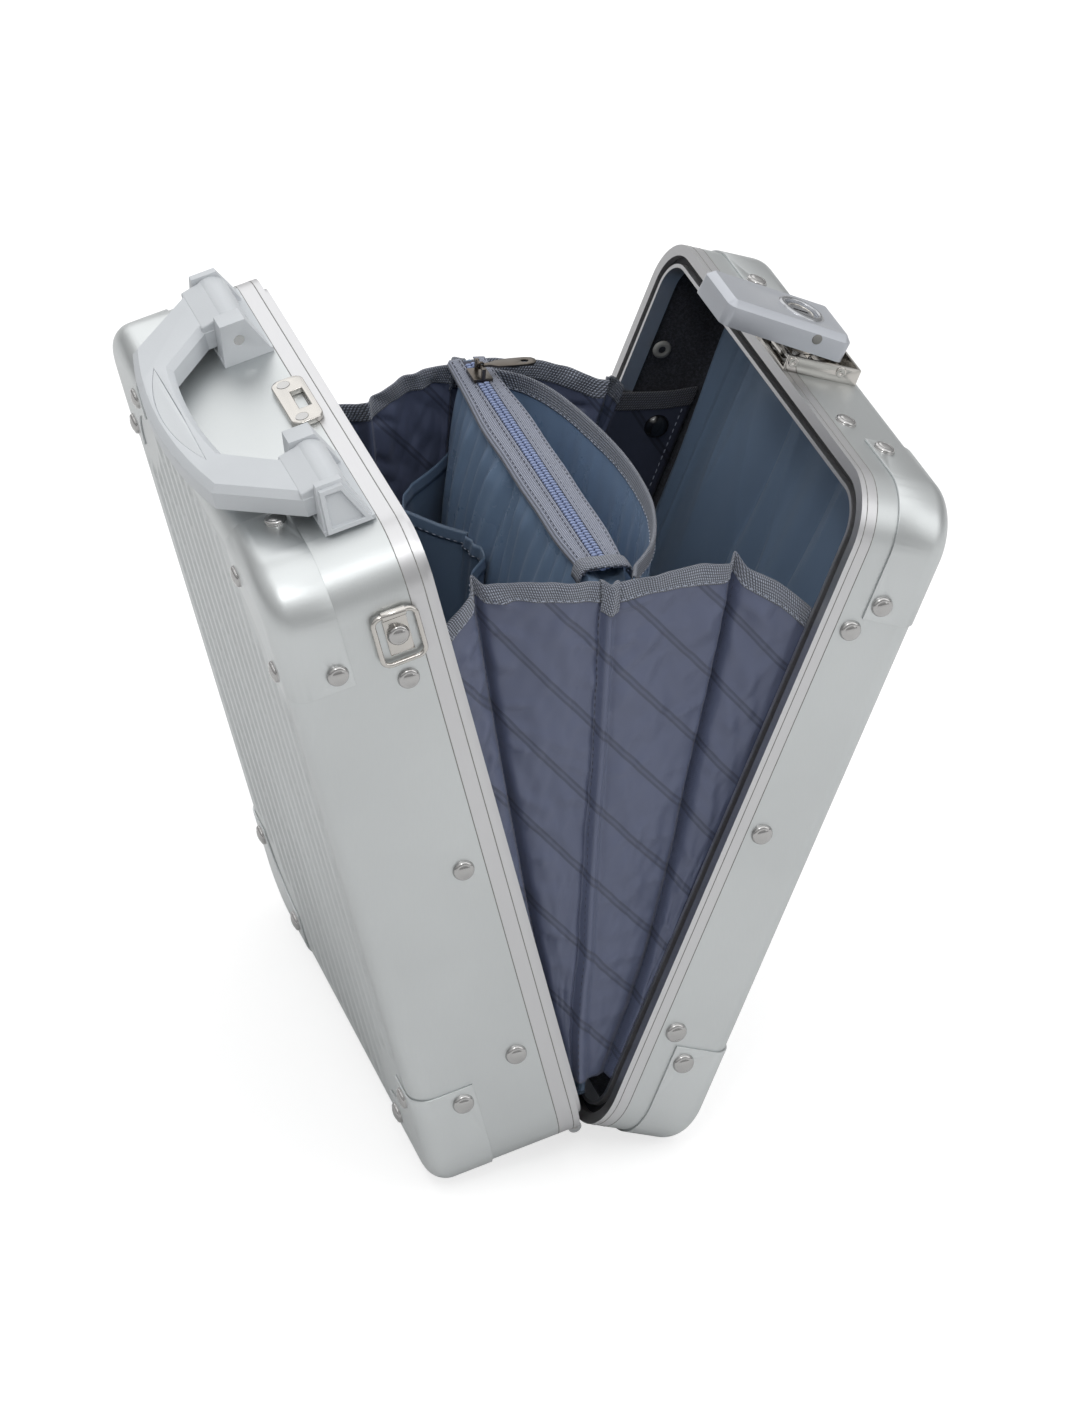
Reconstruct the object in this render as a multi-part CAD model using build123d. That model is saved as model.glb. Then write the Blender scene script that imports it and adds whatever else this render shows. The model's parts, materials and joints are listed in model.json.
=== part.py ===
from build123d import *
from math import atan2, cos, degrees, hypot, radians, sin
import os

# Laptop hard case, standing open as a V on its two outer bottom edges.
# Each shell is drawn as it lies in the closed case: X is the depth outwards from the
# closing plane, Y runs along the hinge and Z is the height above the hinge axis.
# A handle-side piece is then mirrored, and every piece is swung about the hinge axis.

# Case
case_width = 270.0
case_height = 345.0
handle_depth = 72.0
lock_depth = 47.2
plan_radius = 27.0
face_radius = 10.0
pan_wall = 1.2
open_angle = 34.8
axis_drop = 4.5
closing_gap = 0.3
seat_gap = 0.3
skin_gap = 0.05
overcut = 1.0

# Frames
handle_band = 10.4
lock_band = 8.0
band_wall = 3.0
frame_reach = 11.0
web_thickness = 3.0
tongue_inset = 5.9
tongue_thickness = 2.6
tongue_height = 2.6
groove_inset = 5.2
groove_floor = 5.0
rail_thickness = 1.8
gasket_thickness = 1.6
flange_length = 15.0
flange_thickness = 1.5

# Corner caps
cap_thickness = 1.0
cap_arm = 59.0
cap_reach = 28.5
cap_arc_radius = 40.0
cap_arc_centre = 66.0
cap_tab_radius = 7.0
cap_rivet_along = 51.0
cap_rivet_depth = 6.5
cap_face_rivet = 19.0

# Rivets
rivet_head = 4.9
rivet_height = 1.9
rivet_dome = 1.4
rivet_shank = 1.5
rivet_hole = 1.55
rivet_tail = 1.0
end_rivet_pitch = 106.7
top_rivet_spread = 59.5
handle_rivet_back = 10.1
lock_rivet_back = 7.7

# Linings
lining_thickness = 1.2

# Hinge
barrel_radius = 3.2
pin_radius = 1.3
pin_clearance = 0.06
leaf_thickness = 1.4
leaf_inset = 23.0
knuckle_count = 5
knuckle_gap = 0.4

# Carrying handle, lying over the outer top edge
bracket_inner = 50.0
bracket_outer = 109.0
ear_thickness = 11.0
ear_height = 21.0
ear_foot_near = 11.0
ear_foot_far = 34.6
ear_top_near = 20.0
ear_top_far = 32.0
ear_slope = 7.0
bracket_floor = 2.4
pivot_depth = 25.0
pivot_height = 11.5
handle_pin_radius = 2.5
handle_pin_clearance = 0.08
arm_gap = 0.4
arm_barrel = 8.5
bar_low = 5.5
bar_thickness = 11.5
bar_chamfer = 3.0
grip_corner_depth = 71.0
grip_corner_half = 66.0
grip_bow = 79.0
inner_corner_depth = 58.5
inner_corner_half = 40.0
inner_bow = 61.5
arm_clearance = 0.9
insert_half = 44.0
insert_width = 9.0
insert_depth = 1.5

# Strike plate on the handle shell
strike_half = 20.0
strike_near = 7.0
strike_far = 22.0
strike_height = 3.0
strike_radius = 5.0
strike_window_half = 8.0
strike_window_near = 10.0
strike_window_far = 15.5
strike_screw_half = 15.0
strike_screw_depth = 16.5
screw_head = 2.9
screw_shank = 1.4
screw_sink = 1.6

# Lock on the lock shell
base_near = 0.8
base_far = 38.5
base_half = 15.4
base_sheet = 1.2
base_wall_height = 8.0
base_rivet_near = 13.6
base_rivet_far = 24.4
hook_pivot_depth = 4.0
hook_pivot_height = 5.2
link_foot_depth = 29.0
link_foot_height = 5.2
link_head_depth = 13.0
link_head_height = 15.0
link_half = 11.0
link_sheet = 1.2
link_boss = 3.4
lock_pin_radius = 1.5
lock_pin_clearance = 0.06
housing_near = -38.0
housing_far = 28.0
housing_half = 17.7
housing_rise_near = 29.0
housing_rise_far = 23.0
housing_depth = 12.8
housing_wall = 1.4
housing_corner = 4.0
housing_bevel = 3.0
lug_gap = 0.35
lug_thickness = 1.4
cylinder_depth = 6.0
cylinder_radius = 8.2
cylinder_clearance = 0.08
cylinder_length = 6.5
cylinder_sink = 0.8
keyway_length = 8.0
keyway_width = 1.4
keyway_depth = 4.0
notch_height = 10.0
hook_half = 6.0
hook_sheet = 1.6
hook_lip_depth = -12.4
hook_lip_drop = 4.2
hook_raise = 26.0
hook_boss = 2.9

# Strap rings on the two ends
ring_rivet_drop = 42.0
ring_depth = 19.8
ring_wire = 1.2
ring_width = 20.0
ring_length = 25.0
ring_corner = 4.0
ring_bar_height = 12.0
clip_width = 11.0
clip_sheet = 1.0
clip_tail = 9.5
eye_clearance = 0.1

# Divider and its pockets
divider_inset = 18.0
pocket_drop = 68.5
pocket_belly = 190.0
pocket_foot_half = 3.0
pocket_belly_half = 19.0
pocket_top_half = 8.0
tape_half = 11.0
tape_thickness = 1.0
coil_half = 2.2
coil_height = 1.8
flap_bottom = 90.0
flap_drop = 5.0
flap_bulge = 35.0
flap_thickness = 1.6
flap_inset = 5.0
pen_pocket_half = 52.0
pen_pocket_offset = 20.0
pen_pocket_bottom = 110.0
pen_pocket_drop = 56.0
pen_pocket_thickness = 3.0

# Zip slider and its pull
slider_half_width = 4.6
slider_length = 12.0
slider_sheet = 1.4
slider_place = 96.0
slider_clearance = 0.3
bridge_height = 5.0
bridge_width = 1.8
bridge_post = 1.6
bridge_radius = 0.8
eye_radius = 2.0
eye_width = 2.4
pull_clearance = 0.08
pull_reach = 27.0
pull_width = 7.0
pull_corner = 2.3
pull_thickness = 1.3

# Gussets, hinge cover and the small fittings in the lock tray
gusset_thickness = 2.0
gusset_drop = 53.5
gusset_bottom = 30.0
gusset_tuck = 2.0
cover_thickness = 1.2
loop_panel_inset = 35.0
loop_panel_drop = 26.0
loop_panel_height = 46.0
loop_panel_thickness = 1.5
stud_radius = 6.0
stud_height = 2.5
stud_spread = 70.0

HANDLE = -1
LOCK = 1
MIDDLE = 0
NEAR = -1
FAR = 1

case_bottom = axis_drop
case_top = axis_drop + case_height
ring_rivet_height = case_top - ring_rivet_drop
pocket_top = case_top - pocket_drop
flap_top = pocket_top - flap_drop
pen_pocket_top = pocket_top - pen_pocket_drop
gusset_top = case_top - gusset_drop
mid_height = axis_drop + case_height / 2
half_width = case_width / 2
divider_half = half_width - divider_inset
flap_half = divider_half - flap_inset
cover_half = half_width - plan_radius
loop_panel_half = half_width - loop_panel_inset
leaf_half_length = half_width - leaf_inset
depths = {HANDLE: handle_depth, LOCK: lock_depth}
bands = {HANDLE: handle_band, LOCK: lock_band}
rivet_backs = {HANDLE: handle_rivet_back, LOCK: lock_rivet_back}


def stand_tilts():
    """Lean of each shell when both outer bottom edges touch the floor."""
    half = radians(open_angle / 2)
    edge = face_radius + cap_thickness
    height = case_bottom - cap_thickness + edge
    points = {}
    for side in (HANDLE, LOCK):
        depth = depths[side] + cap_thickness - edge
        across = side * (height * sin(half) + depth * cos(half))
        points[side] = (across, height * cos(half) - depth * sin(half))
    level = atan2(points[LOCK][1] - points[HANDLE][1], points[LOCK][0] - points[HANDLE][0])
    return {
        HANDLE: degrees(level - half),
        LOCK: degrees(level + half),
        MIDDLE: degrees(level),
    }


tilts = stand_tilts()


def stand(shape, side):
    """Swing a piece of the closed case to its place in the open stand."""
    placed = shape.mirror(Plane.YZ) if side == HANDLE else shape
    return placed.rotate(Axis.Y, tilts[side])


def slab(inset, start, end):
    """Block with the case's rounded outline, set in from it, between two depths."""
    outline = RectangleRounded(
        case_width - 2 * inset,
        case_height - 2 * inset,
        plan_radius - inset,
    )
    return extrude(Plane.YZ.offset(start) * Pos(0, mid_height) * outline, end - start)


def rim(outer_inset, inner_inset, start, end):
    """Closed band that follows the case's outline."""
    return slab(outer_inset, start, end) - slab(inner_inset, start - overcut, end + overcut)


def domed_slab(inset, start, end, radius):
    """Slab with its outer edge rounded."""
    block = slab(inset, start, end)
    return fillet(block.faces().sort_by(Axis.X)[-1].edges(), radius)


def bar_y(radius, start, end, depth, height):
    """Round bar along the hinge direction."""
    return extrude(Plane((depth, start, height), z_dir=(0, 1, 0)) * Circle(radius), end - start)


def block(depth_range, width_range, height_range):
    """Square block from its limits in depth, width and height."""
    size = [limits[1] - limits[0] for limits in (depth_range, width_range, height_range)]
    low = (depth_range[0], width_range[0], height_range[0])
    return Pos(*low) * Box(*size, align=(Align.MIN, Align.MIN, Align.MIN))


def both_ends(shape):
    """The shape and its mirror image at the other end of the case."""
    return [shape, shape.mirror(Plane.XZ)]


# Rivets
def rivet(grip):
    """Domed rivet: its head stands on Z = 0 and its shank reaches down through the grip."""
    head = extrude(Circle(rivet_head), rivet_height)
    head = fillet(head.faces().sort_by(Axis.Z)[-1].edges(), rivet_dome)
    return head + extrude(Circle(rivet_shank), -(grip + rivet_tail))


def rivet_drill(grip):
    """Hole for the rivet's shank."""
    return extrude(Circle(rivet_hole), -(grip + rivet_tail), both=True)


def on_end(end, depth, height, proud):
    """Seat on the near or far end wall."""
    return Plane((depth, end * (half_width + proud), height), z_dir=(0, end, 0)).location


def on_top(width, depth, proud):
    """Seat on the top wall."""
    return Plane((depth, width, case_top + proud), z_dir=(0, 0, 1)).location


def on_bottom(width, depth, proud):
    """Seat on the bottom wall."""
    return Plane((depth, width, case_bottom - proud), z_dir=(0, 0, -1)).location


def on_face(width, height, side, proud):
    """Seat on the broad face."""
    return Plane((depths[side] + proud, width, height), z_dir=(1, 0, 0)).location


def frame_rivet_seats(side):
    """Seats of the rivets that join pan and frame."""
    depth = bands[side] + rivet_backs[side]
    seats = []
    for end in (NEAR, FAR):
        for step in (-1, 0, 1):
            seats.append(on_end(end, depth, mid_height + step * end_rivet_pitch, 0))
    for width in (-top_rivet_spread, top_rivet_spread):
        if side == LOCK:
            seats.append(on_top(width, depth, 0))
        seats.append(on_bottom(width, depth, 0))
    return seats


def cap_rivet_seats(side):
    """Seats of the rivets that hold the corner caps, four to a cap."""
    depth = depths[side] - cap_reach + cap_rivet_depth
    seats = []
    for end in (NEAR, FAR):
        along = end * (half_width - cap_rivet_along)
        across = end * (half_width - cap_face_rivet)
        seats.append(on_top(along, depth, cap_thickness))
        seats.append(on_bottom(along, depth, cap_thickness))
        for level, edge in ((case_bottom, 1), (case_top, -1)):
            seats.append(on_end(end, depth, level + edge * cap_rivet_along, cap_thickness))
            seats.append(on_face(along, level + edge * cap_face_rivet, side, cap_thickness))
            seats.append(on_face(across, level + edge * cap_rivet_along, side, cap_thickness))
    return seats


def group(solids):
    """Separate solids kept together as one piece."""
    return Compound(list(solids))


# Pans, frames and caps
frame_grip = pan_wall + skin_gap + flange_thickness
cap_grip = cap_thickness + pan_wall
strike_seats = [
    on_top(end * strike_screw_half, strike_screw_depth, strike_height) for end in (NEAR, FAR)
]
ring_seats = [on_end(end, ring_depth, ring_rivet_height, clip_sheet) for end in (NEAR, FAR)]
base_seats = [on_top(0, depth, base_sheet) for depth in (base_rivet_near, base_rivet_far)]
base_grip = base_sheet + frame_grip


def fastener_drills(side):
    """All the holes in one shell's pan and frame."""
    drills = [seat * rivet_drill(frame_grip) for seat in frame_rivet_seats(side)]
    drills += [seat * rivet_drill(cap_grip) for seat in cap_rivet_seats(side)]
    if side == HANDLE:
        drills += [seat * rivet_drill(strike_height + frame_grip) for seat in strike_seats]
        drills += [seat * rivet_drill(clip_sheet + frame_grip) for seat in ring_seats]
    else:
        drills += [seat * rivet_drill(base_grip) for seat in base_seats]
    return drills


def make_pan(side):
    """Drawn tray with rounded corners and a rounded broad-face edge."""
    depth = depths[side]
    outer = domed_slab(0, bands[side], depth, face_radius)
    inner = domed_slab(pan_wall, bands[side] - overcut, depth - pan_wall, face_radius - pan_wall)
    return outer - inner - fastener_drills(side)


def make_handle_frame():
    """Frame with the closing tongue."""
    start = closing_gap / 2
    band = rim(0, band_wall, start, handle_band)
    web = rim(0, frame_reach, start, web_thickness)
    tongue = rim(tongue_inset, tongue_inset + tongue_thickness, -tongue_height, web_thickness)
    inset = pan_wall + skin_gap
    flange = rim(inset, inset + flange_thickness, web_thickness, handle_band + flange_length)
    return band + web + tongue + flange - fastener_drills(HANDLE)


def make_lock_frame():
    """Frame with the groove that takes the gasket and the tongue."""
    start = closing_gap / 2
    band = rim(0, groove_inset, start, lock_band)
    floor = rim(0, frame_reach, groove_floor, lock_band)
    rail = rim(frame_reach - rail_thickness, frame_reach, start, lock_band)
    inset = pan_wall + skin_gap
    flange = rim(inset, inset + flange_thickness, groove_floor, lock_band + flange_length)
    return band + floor + rail + flange - fastener_drills(LOCK)


def make_gasket():
    """Soft strip on the groove's floor."""
    return rim(
        groove_inset + skin_gap,
        frame_reach - rail_thickness - skin_gap,
        groove_floor - gasket_thickness,
        groove_floor,
    )


def cap_region(side, end, level):
    """Corner block with a concave broad-face edge and rounded tabs."""
    depth = depths[side]
    edge = 1 if level == case_bottom else -1
    corner = RectangleRounded(2 * cap_arm, 2 * cap_arm, cap_tab_radius)
    arc = Pos(cap_arc_centre * -end, cap_arc_centre * edge) * Circle(cap_arc_radius)
    place = Pos(end * half_width, level)
    reach = cap_reach + 2 * cap_thickness
    region = extrude(Plane.YZ.offset(depth - cap_reach) * place * corner, reach)
    scoop = extrude(Plane.YZ.offset(depth - face_radius) * place * arc, reach)
    return region - scoop


def make_cap(side, end, level):
    """Pressed corner cap over the pan."""
    depth = depths[side]
    start = depth - cap_reach
    radius = face_radius + cap_thickness
    skin = domed_slab(-cap_thickness, start, depth + cap_thickness, radius)
    hollow = domed_slab(-skin_gap, start - overcut, depth + skin_gap, face_radius + skin_gap)
    cap = (skin - hollow) & cap_region(side, end, level)
    return cap - [seat * rivet_drill(cap_grip) for seat in cap_rivet_seats(side)]


def make_lining(side):
    """Fabric-covered tray inside the pan and the frame's flange."""
    inset = pan_wall + flange_thickness + rivet_tail + 2 * skin_gap + seat_gap
    back = depths[side] - pan_wall - rivet_tail - seat_gap
    radius = face_radius - pan_wall - rivet_tail - seat_gap
    outer = domed_slab(inset, bands[side] + seat_gap, back, radius)
    inner = domed_slab(
        inset + lining_thickness,
        bands[side],
        back - lining_thickness,
        radius - lining_thickness,
    )
    return outer - inner


# Hinge
def knuckles(side):
    """Rolled knuckles of one leaf, alternate lengths of the barrel."""
    pitch = 2 * leaf_half_length / knuckle_count
    first = 0 if side == HANDLE else 1
    rolls = []
    for index in range(first, knuckle_count, 2):
        start = -leaf_half_length + index * pitch + knuckle_gap / 2
        rolls.append((start, start + pitch - knuckle_gap))
    return rolls


def make_leaf(side):
    """Hinge leaf under the frame, with its knuckles round the pin."""
    bore = pin_radius + pin_clearance
    parts = []
    for start, end in knuckles(side):
        parts.append(bar_y(barrel_radius, start, end, 0, 0))
        parts.append(block(
            (0, bands[side]),
            (start, end),
            (case_bottom - leaf_thickness, case_bottom),
        ))
    leaf = block(
        (barrel_radius + knuckle_gap, bands[side]),
        (-leaf_half_length, leaf_half_length),
        (case_bottom - leaf_thickness, case_bottom),
    )
    parts.append(leaf)
    solid = parts[0]
    for part in parts[1:]:
        solid = solid + part
    for start, end in knuckles(-side):
        clear = bar_y(barrel_radius + knuckle_gap, start - knuckle_gap / 2, end + knuckle_gap / 2, 0, 0)
        solid = solid - clear
    return solid - bar_y(bore, -half_width, half_width, 0, 0)


def make_hinge_pin():
    """Pin through all the knuckles."""
    return bar_y(pin_radius, -leaf_half_length, leaf_half_length, 0, 0)


# Carrying handle
pivot_level = case_top + pivot_height
arm_inner = bracket_inner + ear_thickness + arm_gap
arm_outer = bracket_outer - ear_thickness - arm_gap
arm_front = pivot_depth + hypot(ear_top_far - pivot_depth, ear_height - pivot_height) + arm_clearance


def make_bracket():
    """Clevis with a plain inner ear and a sloping outer ear."""
    floor = block(
        (ear_foot_near, ear_foot_far),
        (bracket_inner, bracket_outer),
        (case_top, case_top + bracket_floor),
    )
    profile = Polygon(
        (ear_foot_near, case_top),
        (ear_foot_far, case_top),
        (ear_top_far, case_top + ear_height),
        (ear_top_near, case_top + ear_height),
        align=None,
    )
    inner = extrude(Plane.XZ.offset(-bracket_inner) * profile, -ear_thickness)
    outer = extrude(Plane.XZ.offset(-bracket_outer) * profile, ear_thickness)
    slope = Polygon(
        (bracket_outer, case_top),
        (bracket_outer + ear_slope, case_top),
        (bracket_outer + ear_slope, case_top + ear_height),
        (bracket_outer - ear_slope, case_top + ear_height),
        align=None,
    )
    outer = outer - extrude(Plane.YZ * slope, handle_depth)
    bore = bar_y(handle_pin_radius, bracket_inner, bracket_outer, pivot_depth, pivot_level)
    return floor + inner + outer - bore


def make_handle_bar():
    """Faceted U with its arms widening to the pivots."""
    outer = Polyline(
        (pivot_depth, arm_outer),
        (arm_front, arm_outer),
        (grip_corner_depth, grip_corner_half),
    )
    bow = ThreePointArc(
        (grip_corner_depth, grip_corner_half),
        (grip_bow, 0),
        (grip_corner_depth, -grip_corner_half),
    )
    back = Polyline(
        (grip_corner_depth, -grip_corner_half),
        (arm_front, -arm_outer),
        (pivot_depth, -arm_outer),
        (pivot_depth, -arm_inner),
        (arm_front, -arm_inner),
        (inner_corner_depth, -inner_corner_half),
    )
    inner = ThreePointArc(
        (inner_corner_depth, -inner_corner_half),
        (inner_bow, 0),
        (inner_corner_depth, inner_corner_half),
    )
    close = Polyline(
        (inner_corner_depth, inner_corner_half),
        (arm_front, arm_inner),
        (pivot_depth, arm_inner),
        (pivot_depth, arm_outer),
    )
    outline = make_face(outer + bow + back + inner + close)
    bar = extrude(Plane.XY.offset(case_top + bar_low) * outline, bar_thickness)
    bar = chamfer(bar.faces().sort_by(Axis.Z)[-1].edges(), bar_chamfer)
    for start, end in ((arm_inner, arm_outer), (-arm_outer, -arm_inner)):
        bar = bar + bar_y(arm_barrel, start, end, pivot_depth, pivot_level)
    bore = handle_pin_radius + handle_pin_clearance
    return bar - bar_y(bore, -arm_outer - overcut, arm_outer + overcut, pivot_depth, pivot_level)


def insert_outline(extra):
    """Almond outline of the grip insert."""
    mid = (grip_bow + inner_bow) / 2
    end_depth = mid - (grip_bow - grip_corner_depth) / 2
    half = insert_half + extra
    width = insert_width / 2 + extra
    left = ThreePointArc((end_depth, half), (mid + width, 0), (end_depth, -half))
    right = ThreePointArc((end_depth, -half), (mid - width, 0), (end_depth, half))
    return make_face(left + right)


def make_insert(extra):
    """Grip insert, or with an extra the pocket for it."""
    top = case_top + bar_low + bar_thickness
    return extrude(Plane.XY.offset(top - insert_depth) * insert_outline(extra), insert_depth)


def make_handle_pins():
    """Pivot pins, one in each bracket."""
    length = (bracket_inner + skin_gap, bracket_outer - ear_slope)
    return group(both_ends(bar_y(handle_pin_radius, *length, pivot_depth, pivot_level)))


# Strike plate
def screw(sink):
    """Countersunk screw, flush with Z = 0."""
    cone = Pos(0, 0, -screw_sink) * Cone(
        screw_shank,
        screw_head,
        screw_sink,
        align=(Align.CENTER, Align.CENTER, Align.MIN),
    )
    return cone + extrude(Circle(screw_shank), -sink)


def make_strike():
    """Strike plate with a window for the hook and two countersunk holes."""
    outline = Pos((strike_near + strike_far) / 2, 0) * RectangleRounded(
        strike_far - strike_near,
        2 * strike_half,
        strike_radius,
    )
    plate = extrude(Plane.XY.offset(case_top) * outline, strike_height)
    window = block(
        (strike_window_near, strike_window_far),
        (-strike_window_half, strike_window_half),
        (case_top - overcut, case_top + strike_height + overcut),
    )
    holes = [seat * screw(strike_height + overcut) for seat in strike_seats]
    return plate - window - holes


# Strap rings
ring_bar_level = ring_rivet_height + ring_bar_height
ring_stand_off = clip_sheet + ring_wire + eye_clearance


def make_clip(end):
    """Folded clip: a riveted plate and an eye round the ring's top bar."""
    start = ring_depth - clip_width / 2
    eye = Plane((start, half_width + ring_stand_off, ring_bar_level), z_dir=(1, 0, 0))
    bore_radius = ring_wire + eye_clearance
    barrel = extrude(eye * Circle(bore_radius + clip_sheet), clip_width)
    plate = block(
        (start, start + clip_width),
        (half_width, half_width + clip_sheet),
        (ring_rivet_height - clip_tail, ring_bar_level),
    )
    bore = extrude(eye.offset(-overcut) * Circle(bore_radius), clip_width + 2 * overcut)
    drill = on_end(FAR, ring_depth, ring_rivet_height, clip_sheet) * rivet_drill(clip_sheet)
    clip = barrel + plate - bore - drill
    return clip if end == FAR else clip.mirror(Plane.XZ)


def make_ring(end):
    """Wire ring that hangs from its clip."""
    level = ring_bar_level - ring_length / 2
    path = Plane((ring_depth, half_width + ring_stand_off, level), x_dir=(1, 0, 0), z_dir=(0, 1, 0))
    outline = path * RectangleRounded(ring_width, ring_length, ring_corner)
    wire = outline.face().outer_wire()
    start = Plane(wire @ 0, z_dir=wire % 0)
    ring = sweep(start * Circle(ring_wire), path=wire)
    return ring if end == FAR else ring.mirror(Plane.XZ)


# Lock
lock_level = case_top


def make_base():
    """Channel riveted to the top, with an upturned outer end."""
    floor = block(
        (base_near, base_far),
        (-base_half, base_half),
        (lock_level, lock_level + base_sheet),
    )
    walls = []
    for start in (-base_half, base_half - base_sheet):
        walls.append(block(
            (base_near, base_far),
            (start, start + base_sheet),
            (lock_level, lock_level + base_wall_height),
        ))
    end = block(
        (base_far - base_sheet, base_far),
        (-base_half, base_half),
        (lock_level, lock_level + base_wall_height),
    )
    base = floor + walls[0] + walls[1] + end
    for depth, height in ((hook_pivot_depth, hook_pivot_height), (link_foot_depth, link_foot_height)):
        base = base - bar_y(lock_pin_radius, -base_half, base_half, depth, lock_level + height)
    return base - [seat * rivet_drill(base_grip) for seat in base_seats]


def lock_pin(depth, height, half):
    """Pin across the lock."""
    return bar_y(lock_pin_radius, -half, half, depth, lock_level + height)


head_pin_half = link_half + lug_gap + lug_thickness


def link_ends():
    """Foot and head of the lifting link, as depth and level."""
    foot = (link_foot_depth, lock_level + link_foot_height)
    head = (link_head_depth, lock_level + link_head_height)
    return foot, head


def make_link():
    """Lifting link: two cheeks joined by a bridge."""
    foot, head = link_ends()
    bore = lock_pin_radius + lock_pin_clearance
    hull = make_hull(
        (Pos(*foot) * Circle(link_boss)).edges() + (Pos(*head) * Circle(link_boss)).edges()
    )
    cheeks = []
    for start in (-link_half, link_half - link_sheet):
        plane = Plane((0, start, 0), x_dir=(1, 0, 0), z_dir=(0, -1, 0))
        cheeks.append(extrude(plane * hull, -link_sheet))
    middle = ((foot[0] + head[0]) / 2, (foot[1] + head[1]) / 2)
    bridge = bar_y(link_boss / 2, -link_half, link_half, *middle)
    link = cheeks[0] + cheeks[1] + bridge
    for depth, level in (foot, head):
        link = link - bar_y(bore, -base_half, base_half, depth, level)
    return link


housing_slope = degrees(atan2(housing_rise_near - housing_rise_far, housing_far - housing_near))
housing_plane = Plane(
    (housing_near, 0, lock_level + housing_rise_near),
    x_dir=(cos(radians(housing_slope)), 0, -sin(radians(housing_slope))),
    z_dir=(sin(radians(housing_slope)), 0, cos(radians(housing_slope))),
)
housing_length = (housing_far - housing_near) / cos(radians(housing_slope))
cylinder_place = (cylinder_depth - housing_near) / cos(radians(housing_slope))


def make_housing():
    """Hollow bevelled housing that the key works in."""
    middle = Pos(housing_length / 2, 0)
    centre = Pos(cylinder_place, 0)
    outline = middle * RectangleRounded(housing_length, 2 * housing_half, housing_corner)
    shell = extrude(housing_plane * outline, -housing_depth)
    shell = chamfer(shell.faces().sort_by(Axis.Z)[-1].edges(), housing_bevel)
    cavity = middle * RectangleRounded(
        housing_length - 2 * housing_wall,
        2 * (housing_half - housing_wall),
        housing_corner - housing_wall,
    )
    shell = shell - extrude(housing_plane.offset(-housing_bevel) * cavity, -housing_depth)
    boss = housing_plane.offset(-housing_wall) * centre * Circle(cylinder_radius + housing_wall)
    shell = shell + extrude(boss, -cylinder_length)
    bore = housing_plane.offset(overcut) * centre * Circle(cylinder_radius + cylinder_clearance)
    shell = shell - extrude(bore, -housing_depth - 2 * overcut)
    head = link_ends()[1]
    notch = block(
        (link_head_depth, housing_far + overcut),
        (housing_wall - housing_half, housing_half - housing_wall),
        (lock_level, lock_level + housing_rise_far - housing_depth + notch_height),
    )
    shell = shell - notch
    web_top = housing_plane.offset(-housing_bevel / 2)
    for start in (link_half + lug_gap, -link_half - lug_gap - lug_thickness):
        place = Pos(link_head_depth - housing_near, start + lug_thickness / 2)
        section = web_top * place * Rectangle(2 * link_boss, lug_thickness)
        web = extrude(section, housing_bevel - housing_depth)
        shell = shell + bar_y(link_boss, start, start + lug_thickness, *head) + web
    return shell - bar_y(lock_pin_radius, -head_pin_half, head_pin_half, *head)


def make_cylinder():
    """Key cylinder with its keyway."""
    face = housing_plane.offset(-cylinder_sink) * Pos(cylinder_place, 0)
    plug = extrude(face * Circle(cylinder_radius), cylinder_sink - cylinder_length)
    return plug - extrude(face * Rectangle(keyway_length, keyway_width), -keyway_depth)


def make_hook():
    """Hook that drops into the strike's window, drawn closed and then raised."""
    level = lock_level + hook_pivot_height
    lip_end = hook_lip_depth + hook_sheet
    top = level + hook_sheet
    arm = block((hook_lip_depth, hook_pivot_depth), (-hook_half, hook_half), (level, top))
    lip = block((hook_lip_depth, lip_end), (-hook_half, hook_half), (level - hook_lip_drop, top))
    boss = bar_y(hook_boss, -hook_half, hook_half, hook_pivot_depth, level)
    bore = bar_y(
        lock_pin_radius + lock_pin_clearance,
        -hook_half - overcut,
        hook_half + overcut,
        hook_pivot_depth,
        level,
    )
    hook = arm + lip + boss - bore
    return hook.rotate(Axis((hook_pivot_depth, 0, level), (0, 1, 0)), hook_raise)


# Divider
cover_level = (case_bottom + frame_reach + seat_gap) * cos(radians(open_angle / 2))
pocket_bottom = cover_level + cover_thickness + seat_gap


def make_pocket():
    """Padded zip pocket, narrow at the foot and at the zip."""
    lower = Spline(
        (pocket_foot_half, pocket_bottom),
        (pocket_belly_half, pocket_belly),
        tangents=((pocket_belly_half - pocket_foot_half, pocket_belly - pocket_bottom), (0, 1)),
    )
    upper = Spline(
        (pocket_belly_half, pocket_belly),
        (pocket_top_half, pocket_top),
        tangents=((0, 1), (pocket_top_half - pocket_belly_half, pocket_top - pocket_belly)),
    )
    right = lower + upper
    left = right.mirror(Plane.YZ)
    outline = make_face(
        right + left
        + Line((-pocket_foot_half, pocket_bottom), (pocket_foot_half, pocket_bottom))
        + Line((-pocket_top_half, pocket_top), (pocket_top_half, pocket_top))
    )
    pocket = extrude(Plane.XZ.offset(-divider_half) * outline, 2 * divider_half)
    return pocket & slab(frame_reach + seat_gap, -pocket_belly_half, pocket_belly_half)


def make_tapes():
    """Zip tapes either side of the coil."""
    top = pocket_top + tape_thickness
    inner = coil_half + skin_gap
    tapes = []
    for start, end in ((-tape_half, -inner), (inner, tape_half)):
        tapes.append(block((start, end), (-divider_half, divider_half), (pocket_top, top)))
    return group(tapes)


def make_coil():
    """Zip coil."""
    top = pocket_top + coil_height
    return block((-coil_half, coil_half), (-divider_half, divider_half), (pocket_top, top))


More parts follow.
